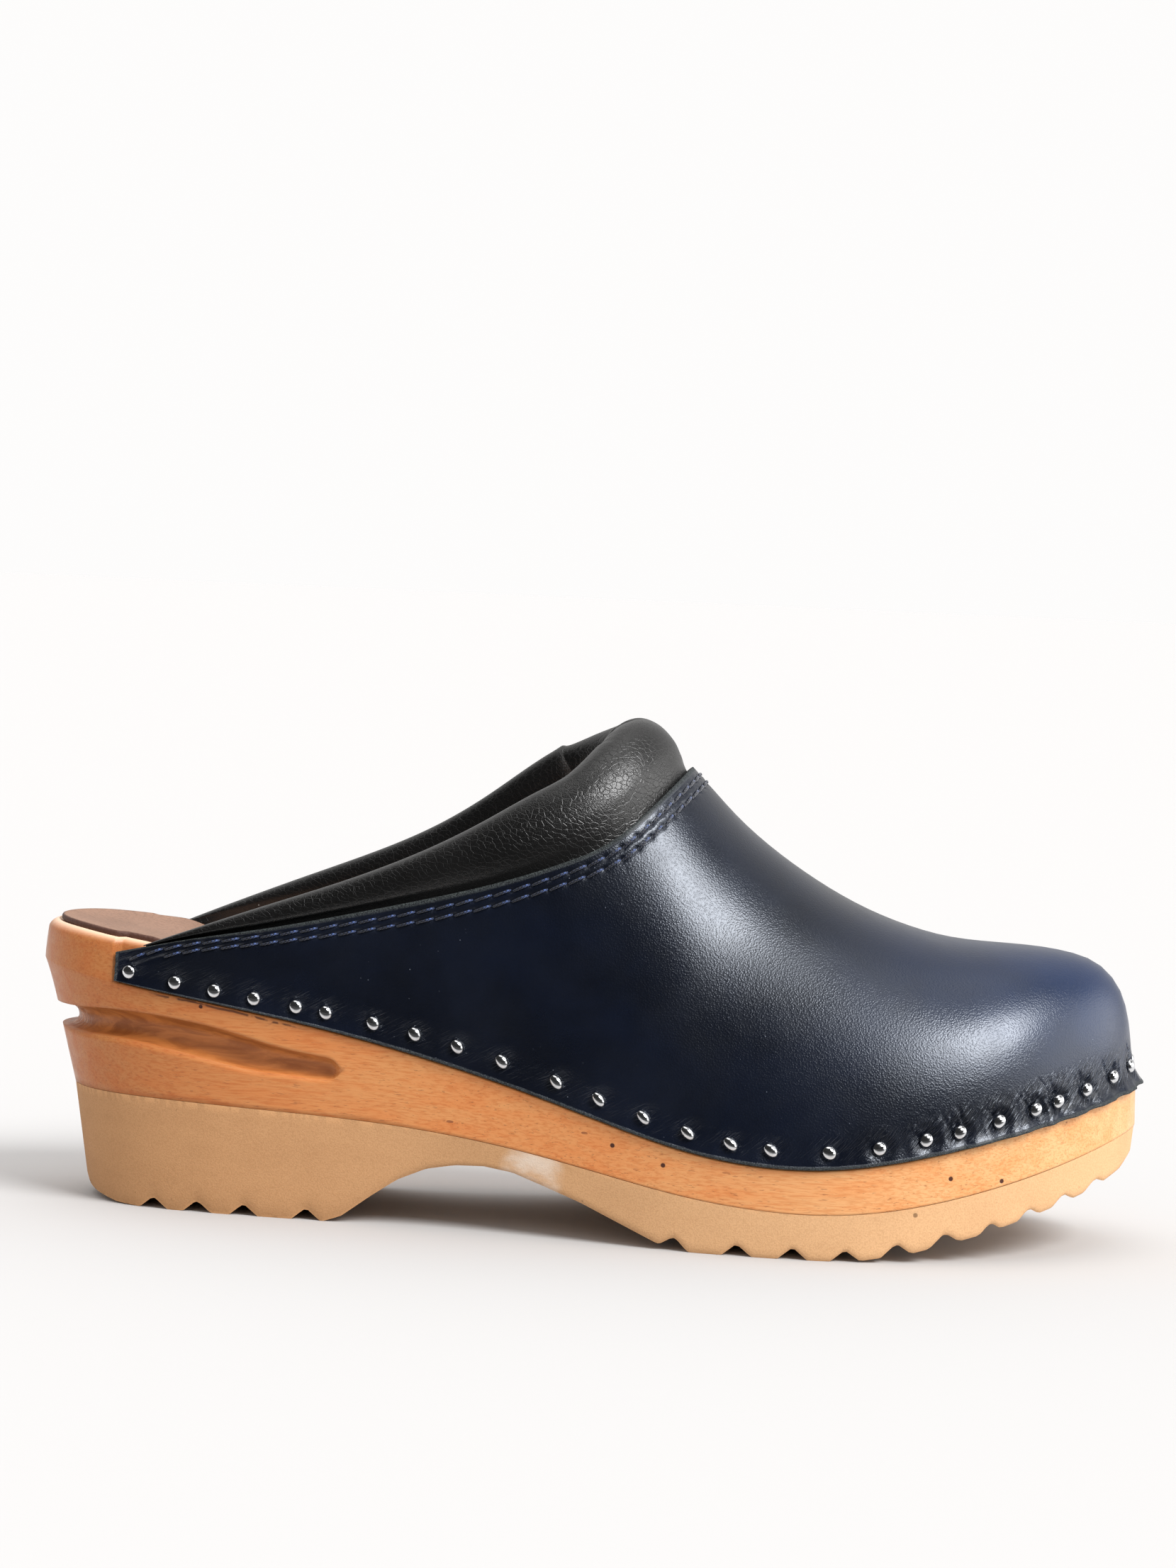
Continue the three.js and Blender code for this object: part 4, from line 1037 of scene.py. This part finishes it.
def vamp_places():
    """Places of the vamp's columns: close together round the toe, where it puckers most."""
    fine = np.linspace(-1, 1, 4001)
    x = base_point(fine)[0][:, 0]
    weight = 1.0 + 2.1 * smooth(x, 0.72 * LENGTH, 0.9 * LENGTH)
    step = np.diff(edge_run(fine)) * (weight[1:] + weight[:-1]) / 2
    total = np.concatenate([[0], np.cumsum(step)])
    return np.interp(np.linspace(0, total[-1], 860), total, fine)


def bell(x, width):
    """A rounded peak, exp(-(x / width)^2)."""
    return np.exp(-((x / width) ** 2))


def tack_relief(points, seats, ahead, up):
    """Relief of the nailed band, in mm outwards.

    Round each tack: a dip -d exp(-(r/w)^2), a low swell outside it and a pull along the edge, and
    nine creases that fan upwards, each -a exp(-(p/w)^2) across its own line and fading along it.
    All grow from little on the side to their full depth at the toe.
    """
    rng = np.random.default_rng(11)
    relief, crease = np.zeros((2, *points.shape[:2]))
    for k, seat in enumerate(seats):
        close = np.linalg.norm(points - seat, axis=-1) < 16
        toe = float(smooth(seat[0], 0.66 * LENGTH, 0.92 * LENGTH))
        offset = points[close] - seat
        a, b = offset @ ahead[k], offset @ up[k]
        r = np.hypot(a, b)
        relief[close] += (
            (0.1 + 0.16 * toe) * bell(r - 3.9, 1.3)
            - (0.34 + 0.3 * toe) * bell(r, 2.3 + 0.5 * toe)
            - 0.16 * bell(b, 1.5) * bell(np.abs(a), 4.5)
        )
        fan = np.zeros_like(r)
        for _ in range(9):
            angle = rng.uniform(-1.15, 1.15)
            start_a, start_b = rng.uniform(-3.2, 3.2), rng.uniform(-0.6, 1.8)
            reach = rng.uniform(2.6, 6.5) * (0.45 + 0.55 * toe)
            width = rng.uniform(0.24, 0.4)
            bend = rng.uniform(-0.05, 0.05)
            da, db = a - start_a, b - start_b
            on = da * math.sin(angle) + db * math.cos(angle)
            off = da * math.cos(angle) - db * math.sin(angle) + bend * on**2
            fade = smooth(on, -0.2, 1.2) * (1 - smooth(on, 0.55 * reach, reach))
            fan = fan - bell(off, width) * fade * rng.uniform(0.5, 1.0)
        crease[close] += fan * smooth(r, 1.7, 2.3) * (0.03 + 0.3 * toe)
    return relief + np.maximum(crease, -0.5)


def seam_relief(points, holes, below):
    """Relief along the seam: a shallow channel under each row of thread, pinched at the needle
    holes, and a soft swell between the rows."""
    between = below - sum(row for row, _ in STITCH_ROWS) / 2
    channels = sum(0.16 * bell(below - row, 0.5) for row, _ in STITCH_ROWS)
    relief = 0.14 * bell(between, 0.75) - channels
    near = np.abs(between) < 4
    flat = points[near]
    pinch = np.zeros(len(flat))
    for hole in holes:
        close = np.abs(flat[:, 0] - hole[0]) < 2.4
        r = np.linalg.norm(flat[close] - hole, axis=-1)
        pinch[close] -= 0.3 * bell(r, 0.62) + 0.08 * bell(r, 1.5)
    relief[near] += np.maximum(pinch, -0.5)
    return relief


def cut_edge(a, b, outward):
    """Five rows from edge a to edge b that bulge outwards by 0.16 mm * sqrt(sin(pi v))."""
    v = np.array([0.08, 0.3, 0.55, 0.8, 0.94])[:, None]
    bulge = outward[:, None] * (0.16 * np.sin(math.pi * v) ** 0.5)
    return a[:, None] * (1 - v) + b[:, None] * v + bulge


def build_vamp(material, leather):
    """The vamp: its outer sheet with relief, a plain inner sheet, and rounded cut edges between."""
    places = vamp_places()
    columns = Columns(places)
    length = columns.length[:, None]
    low, high = np.minimum(15.0, 0.42 * length), np.minimum(8.5, 0.42 * length)
    zones = ((0, low), (low, length - low - high), (length - high, high))

    def stations(*counts):
        """Distances up each line, even in the nailed band, in the middle and along the seam."""
        spans = [a + np.linspace(0, 1, n) * span for n, (a, span) in zip(counts, zones)]
        return np.concatenate([spans[0][:, :-1], spans[1][:, :-1], spans[2]], 1)

    distance = stations(36, 34, 22)
    raw, front = columns.at(distance, "raw"), columns.at(distance)
    seats, _, ahead, up = tack_seats()
    relief = tack_relief(front, seats, ahead, up)
    relief = relief + seam_relief(raw, needle_holes(), length - distance)
    # between tacks the free hem stands off the wood, and at the tacks it is held down
    run = edge_run(places)[:, None]
    gap = np.abs(run - edge_run(tack_places())).min(1)[:, None]
    toe = smooth(columns.base[:, :1], 0.7 * LENGTH, 0.96 * LENGTH)
    hem = (0.12 + 0.75 * toe) * smooth(gap, 0.6, 3.6) - 0.25 * toe
    front = front + grid_normals(raw) * (relief + hem * bell(distance, 2.6))[..., None]
    inner = stations(5, 9, 4)
    thin = leather * np.minimum(1.0, 0.35 + length / 9.0)[..., None]
    back = columns.at(inner) - grid_normals(columns.at(inner, "raw")) * thin
    over, under = unit(front[:, -1] - front[:, -2]), unit(front[:, 0] - front[:, 1])
    top_cut = cut_edge(front[:, -1], back[:, -1], over)
    foot_cut = cut_edge(back[:, 0], front[:, 0], under)
    ring = np.concatenate([front, top_cut, back[:, ::-1], foot_cut], 1)
    n, around = ring.shape[:2]
    m = front.shape[1]
    # raw leather shows on the cut edges and, darker, on the inside
    cut = np.ones((n, around))
    cut[1:-1, 1 : m - 2] = [0.8, *[0.0] * (m - 5), 0.6]
    cut[1:-1, m + 5 : -5] = 0.85
    fan = smooth(distance, 1.2, 3.0) * (1 - smooth(distance, 6.0, 9.5 + 3.0 * toe))
    pucker = fan * (0.08 + 0.92 * toe) * (1 - 0.65 * smooth(gap, 1.2, 5.0))
    attributes = {"cut": cut}
    for key, values in (("pucker", pucker), ("rise", distance), ("run", run)):
        attributes[key] = np.zeros((n, around))
        attributes[key][:, :m] = values
    return make_piece(
        "navy_vamp", [(ring, ring_faces(n, around, closed_around=True))], material, ["vamp"],
        attributes, extra=end_faces(n, around),
    )


def build_stitches(material, thickness):
    """Seam stitches: short arcs of thread, each dipping into its needle holes at both ends.

    A stitch's centre line rises h * (1 - (2s - 1)^4) over the leather; its section is round, with a
    slight squash, and narrows into the holes.
    """
    radius = thickness / 2
    s = np.linspace(0, 1, 9)
    angle = np.linspace(0, 2 * math.pi, 6, endpoint=False)
    rise = (-0.42 + 0.62 * (1 - (2 * s - 1) ** 4))[:, None]
    slant = (0.22 * (2 * s - 1))[:, None]
    swell = (0.72 + 0.28 * np.sin(math.pi * s) ** 0.5)[:, None, None]
    flat, high = 0.85 * radius * np.cos(angle)[:, None], radius * np.sin(angle)[:, None]
    tubes = []
    for below, start in STITCH_ROWS:
        columns, line, run, middle, pitch = stitch_row(below, start)
        lower = columns.at((columns.length - below - 0.8)[:, None], "raw")[:, 0]
        at = middle[:, None] + (s - 0.5) * pitch * 0.94
        centre = points_at(at, run, line)
        up = unit(points_at(at, run, unit(line - lower)))
        ahead = unit(np.gradient(centre, axis=1))
        out = unit(np.cross(ahead, up))
        up = np.cross(out, ahead)
        centre = centre + out * rise + up * slant
        tubes.append(centre[:, :, None] + (out[:, :, None] * flat + up[:, :, None] * high) * swell)
    tubes = np.concatenate(tubes)
    count, steps, around = tubes.shape[:3]
    quads, starts = tube_copies(count, steps, around)
    ends = [(starts + end).tolist() for end in end_faces(steps, around)]
    twist = s[:, None] * 5 + angle / (2 * math.pi)
    attributes = {
        "twist": np.broadcast_to(twist, tubes.shape[:3]),
        "share": np.broadcast_to(s[:, None], tubes.shape[:3]),
    }
    return make_piece(
        "seam_stitches", [(tubes, quads)], material, ["seam_thread_1", "seam_thread_2"],
        attributes, extra=[*ends[0], *ends[1]],
    )


# ------------------------------------------------------------------ collar and tacks
def seam_frames(places):
    """On the top edge: its point, the way out of the leather and the way up the leather."""
    columns = Columns(places)
    length = columns.length[:, None]
    point = columns.at(length)[:, 0]
    rise = columns.at(length, "raw")[:, 0] - columns.at(length - 0.8, "raw")[:, 0]
    ahead = unit(np.gradient(point, axis=0))
    out = unit(np.cross(ahead, rise))
    return point, out, unit(np.cross(out, ahead))


def collar_ring(x, around, extra):
    """Section of the padded roll as (up, out) points, a closed smooth curve for each distance x.

    It starts behind the vamp, swells over the top edge, rounds over and comes down inside, where it
    thins away against the vamp's lining. Points between its corners follow a closed cubic.
    """
    height, width = collar_height(x) + extra, np.maximum(1.6, collar_width(x))
    behind = np.minimum(2.6, 0.75 * width)
    flange = np.clip(0.5 + 0.3 * np.maximum(0, x - COLLAR_TAIL), 0.5, 9.0)
    bulge = smooth(height, 2, 14)
    corners = [
        (-flange, -behind),
        (-0.35 * flange, -behind),
        (0.05 * height + 0.2, -0.85 * behind * (1 - 0.3 * bulge)),
        (0.2 * height + 0.3, -0.3 * behind * (1 - 0.9 * bulge) - 0.1),
        (0.42 * height, (0.15 * bulge - 0.07) * width),
        (0.68 * height, (0.15 * bulge - 0.09) * width),
        (0.9 * height, (0.08 * bulge - 0.2) * width),
        (height, -0.47 * width),
        (0.93 * height, -0.78 * width),
        (0.68 * height, -0.98 * width),
        (0.3 * height, -1.02 * width),
        (-0.35 * flange, -0.5 * width - 0.5 * behind - 0.9),
        (-flange, -behind - 1.3),
    ]
    corners = np.array(corners).transpose(2, 0, 1)
    k = corners.shape[1]
    q = np.linspace(0, k, around, endpoint=False)
    i = np.floor(q).astype(int)
    t = (q - i)[:, None]
    p0, p1, p2, p3 = (corners[:, (i + d) % k] for d in (-1, 0, 1, 2))
    square, cube = 2 * p0 - 5 * p1 + 4 * p2 - p3, 3 * p1 - p0 - 3 * p2 + p3
    return 0.5 * (2 * p1 + (p2 - p0) * t + square * t**2 + cube * t**3)


def build_collar(material):
    """Padded collar: the roll's section carried along the top edge.

    Folds -d exp(-(off/w)^2) cross the roll's inner side at the throat, and a slow wave softens it.
    """
    around = 84
    spread = 0.94 * math.pi / 2  # closer columns towards both tails
    even = np.linspace(-spread, spread, 421)
    places = float(place_of(COLLAR_TAIL)) * np.sin(even) / math.sin(spread)
    point, out, up = seam_frames(places)
    x = point[:, 0]
    section = collar_ring(x, around, np.where(places > 0, medial_collar(x), 0))
    ring = point[:, None] + up[:, None] * section[..., :1] + out[:, None] * section[..., 1:]
    normal = grid_normals(ring)
    toward = np.einsum("ijk,ijk->ij", normal, ring - ring.mean(1, keepdims=True))
    normal = normal * np.sign(np.median(toward))
    place, v = places[:, None], np.linspace(0, 1, around, endpoint=False)
    rng = np.random.default_rng(5)
    folds = np.zeros(ring.shape[:2])
    for _ in range(16):
        centre, lean = rng.uniform(-0.26, 0.26), rng.uniform(-0.12, 0.12)
        width, depth = rng.uniform(0.008, 0.016), rng.uniform(0.12, 0.4)
        folds -= depth * bell(place - centre - lean * (v - 0.62), width)
    folds *= smooth(v, 0.42, 0.55) * (1 - smooth(v, 0.74, 0.86)) * smooth(x, 118, 150)[:, None]
    soft = 0.108 * np.sin(place * 23 + 2 * v * 6.28) * smooth(v, 0.2, 0.3)
    soft *= (1 - smooth(v, 0.8, 0.9)) * smooth(collar_height(x), 4, 12)[:, None]
    ring = ring + normal * (folds + soft)[..., None]
    n = len(places)
    piece = make_piece(
        "padded_collar", [(ring, ring_faces(n, around, closed_around=True))], material,
        ["collar_cover", "collar_foam"], weld=True, extra=end_faces(n, around),
    )
    return piece


def build_tacks(material, head):
    """Round-headed tacks: a dome h * sqrt(1 - r^2) with a thin rolled rim, turned round its axis.

    The profile is (share of the head's radius, mm out of the leather).
    """
    seats, normal, ahead, up = tack_seats()
    shank_and_rim = [(0, -1.6), (0.55, -1.6), (0.6, -0.45), (0.92, -0.4), (1, -0.3), (1, -0.16)]
    a = np.linspace(0.12, math.pi / 2, 8)
    dome = np.stack([np.cos(a) ** 0.92, -0.16 + 1.26 * np.sin(a) ** 1.05], -1)
    dome[-1, 0] = 0.0
    wide, out = np.concatenate([shank_and_rim, dome]).T[..., None, None]
    turn = np.linspace(0, 2 * math.pi, 20, endpoint=False)[:, None]
    seats, normal, ahead, up = (v[:, None, None] for v in (seats, normal, ahead, up))
    ring = seats + normal * out + wide * head / 2 * (np.cos(turn) * ahead + np.sin(turn) * up)
    quads, _ = tube_copies(*ring.shape[:3])
    nodes = [f"tack_{k + 1:02d}" for k in range(TACK_COUNT)]
    return make_piece("nickel_tacks", [(ring, quads)], material, nodes, weld=True)


# ------------------------------------------------------------------ stage
def soft_sun(name, direction, spread, strength):
    """A wide soft light from far off, coming from a direction; spread is its width in degrees."""
    data = bpy.data.lights.new(name, "SUN")
    data.energy, data.angle = strength, math.radians(spread)
    lamp = bpy.data.objects.new(name, data)
    lamp.rotation_euler = Vector(direction).to_track_quat("Z", "Y").to_euler()
    bpy.context.scene.collection.objects.link(lamp)


def studio_world():
    """A pale surround, and soft light from overhead, from behind and from the toe's side."""
    world = bpy.data.worlds.new("studio")
    world.use_nodes = True
    world.node_tree.nodes.clear()
    t = Tree(world.node_tree)
    x, y, z = t.axes(t.add("ShaderNodeTexCoord").outputs["Generated"])
    path = t.add("ShaderNodeLightPath").outputs
    strength = t.product(path["Is Diffuse Ray"], 0.85)
    for light in (
        t.ramp(z, 0.88, 0.99, 0.03, 1.7), t.ramp(y, 0.0, 0.5, 0.0, 0.62),
        t.ramp(x, 0.72, 0.93, 0.0, 2.4),
    ):
        strength = t.math("ADD", strength, light)
    lit = t.wire(t.add("ShaderNodeBackground"), Color=(1, 0.99, 0.98), Strength=strength)
    seen = t.wire(t.add("ShaderNodeBackground"), Color=(0.985, 0.976, 0.97))
    both = t.fill(t.add("ShaderNodeMixShader"), path["Is Camera Ray"], lit, seen)
    t.feed(t.add("ShaderNodeOutputWorld").inputs["Surface"], both)
    return world


def build_stage(scene):
    """Pale floor, studio light and the camera, which looks at the outer side."""
    sides = ((-1, -1), (1, -1), (1, 1), (-1, 1))
    corners = [(FLOOR_REACH * i, FLOOR_REACH * j, 0) for i, j in sides]
    mesh = bpy.data.meshes.new("floor")
    mesh.from_pydata(corners, [], [(0, 1, 2, 3)])
    mesh.materials.append(floor_material(FLOOR_GREY))
    floor = bpy.data.objects.new("floor", mesh)
    scene.collection.objects.link(floor)
    scene.world = studio_world()
    soft_sun("key_light", KEY_FROM, KEY_SPREAD, KEY_STRENGTH)
    scene.view_settings.view_transform = "Standard"
    data = bpy.data.cameras.new("camera")
    data.sensor_width, data.lens = 36.0, LENS
    data.clip_start, data.clip_end = 0.05, 60.0
    camera = bpy.data.objects.new("camera", data)
    camera.location = CAMERA_PLACE
    camera.rotation_euler = [math.radians(v) for v in CAMERA_TURN]
    scene.collection.objects.link(camera)
    scene.camera = camera


# ------------------------------------------------------------------ add-on
def size_property(name, description, default, low, high):
    return bpy.props.FloatProperty(
        name=name, description=description, default=default, min=low, max=high, unit="LENGTH",
        subtype="DISTANCE",
    )


def colour_property(name, description, default):
    return bpy.props.FloatVectorProperty(
        name=name, description=description, default=default, subtype="COLOR", size=3, min=0, max=1
    )


class ClogSizes(bpy.types.PropertyGroup):
    """Sizes of the visible details."""

    leather: size_property("Leather", "Thickness of the vamp's leather", 0.002, 0.001, 0.004)
    thread: size_property("Thread", "Diameter of the sewing thread", 0.00068, 0.0003, 0.0015)
    tack_head: size_property("Tack head", "Diameter of a tack's head", 0.0035, 0.002, 0.006)


class ClogColours(bpy.types.PropertyGroup):
    """Colours of the clog's materials."""

    wood: colour_property("Wood", "Lacquered alder of the sole", (0.675, 0.295, 0.103))
    outsole: colour_property("Outsole", "Moulded polyurethane", (0.58, 0.31, 0.142))
    sock: colour_property("Sock", "Leather on the footbed", (0.255, 0.146, 0.098))
    navy: colour_property("Vamp", "Navy leather", (0.0015, 0.0034, 0.0105))
    black: colour_property("Collar", "Black leather", (0.0032, 0.003, 0.003))
    thread: colour_property("Thread", "Waxed thread", (0.011, 0.024, 0.075))
    nickel: colour_property("Tacks", "Nickel plate", (0.82, 0.83, 0.85))


class CLOG_OT_wood(bpy.types.Operator):
    """Build the wooden sole with its slot and hollowed footbed"""

    bl_idname = "clog.wood"
    bl_label = "Wooden sole"

    def execute(self, context):
        build_wood(wood_material(context.scene.clog_colours.wood))
        return {"FINISHED"}


class CLOG_OT_outsole(bpy.types.Operator):
    """Build the moulded outsole with its cut tread"""

    bl_idname = "clog.outsole"
    bl_label = "Outsole"

    def execute(self, context):
        build_outsole(outsole_material(context.scene.clog_colours.outsole))
        return {"FINISHED"}


class CLOG_OT_sock(bpy.types.Operator):
    """Build the leather sock on the footbed"""

    bl_idname = "clog.sock"
    bl_label = "Sock"

    def execute(self, context):
        build_sock(sock_material(context.scene.clog_colours.sock))
        return {"FINISHED"}


class CLOG_OT_vamp(bpy.types.Operator):
    """Build the navy vamp with its puckered, nailed edge"""

    bl_idname = "clog.vamp"
    bl_label = "Vamp"

    def execute(self, context):
        scene = context.scene
        build_vamp(vamp_material(scene.clog_colours.navy), scene.clog_sizes.leather / MM)
        return {"FINISHED"}


class CLOG_OT_collar(bpy.types.Operator):
    """Build the padded collar behind the vamp's top edge"""

    bl_idname = "clog.collar"
    bl_label = "Collar"

    def execute(self, context):
        build_collar(collar_material(context.scene.clog_colours.black))
        return {"FINISHED"}


class CLOG_OT_stitches(bpy.types.Operator):
    """Build the two rows of stitches"""

    bl_idname = "clog.stitches"
    bl_label = "Stitches"

    def execute(self, context):
        scene = context.scene
        build_stitches(thread_material(scene.clog_colours.thread), scene.clog_sizes.thread / MM)
        return {"FINISHED"}


class CLOG_OT_tacks(bpy.types.Operator):
    """Build the tacks round the edge"""

    bl_idname = "clog.tacks"
    bl_label = "Tacks"

    def execute(self, context):
        scene = context.scene
        build_tacks(nickel_material(scene.clog_colours.nickel), scene.clog_sizes.tack_head / MM)
        return {"FINISHED"}


class CLOG_OT_stage(bpy.types.Operator):
    """Set the pale floor, the soft studio light and the camera"""

    bl_idname = "clog.stage"
    bl_label = "Stage"

    def execute(self, context):
        build_stage(context.scene)
        return {"FINISHED"}


BUILD_ORDER = [
    CLOG_OT_wood, CLOG_OT_outsole, CLOG_OT_sock, CLOG_OT_vamp, CLOG_OT_collar,
    CLOG_OT_stitches, CLOG_OT_tacks, CLOG_OT_stage,
]


class CLOG_PT_panel(bpy.types.Panel):
    """Sizes, colours and builders of the clog"""

    bl_idname = "CLOG_PT_panel"
    bl_label = "Wooden clog"
    bl_space_type = "VIEW_3D"
    bl_region_type = "UI"
    bl_category = "Clog"

    def draw(self, context):
        for group in (context.scene.clog_sizes, context.scene.clog_colours):
            box = self.layout.box()
            for key in group.bl_rna.properties.keys():
                if key not in {"rna_type", "name"}:
                    box.prop(group, key)
        for operator in BUILD_ORDER:
            self.layout.operator(operator.bl_idname)


CLASSES = [ClogSizes, ClogColours, *BUILD_ORDER, CLOG_PT_panel]


def register():
    for cls in CLASSES:
        bpy.utils.register_class(cls)
    bpy.types.Scene.clog_sizes = bpy.props.PointerProperty(type=ClogSizes)
    bpy.types.Scene.clog_colours = bpy.props.PointerProperty(type=ClogColours)


def unregister():
    del bpy.types.Scene.clog_sizes
    del bpy.types.Scene.clog_colours
    for cls in reversed(CLASSES):
        bpy.utils.unregister_class(cls)


def main():
    register()
    for operator in BUILD_ORDER:
        group, name = operator.bl_idname.split(".")
        getattr(getattr(bpy.ops, group), name)()


if __name__ == "__main__":
    main()
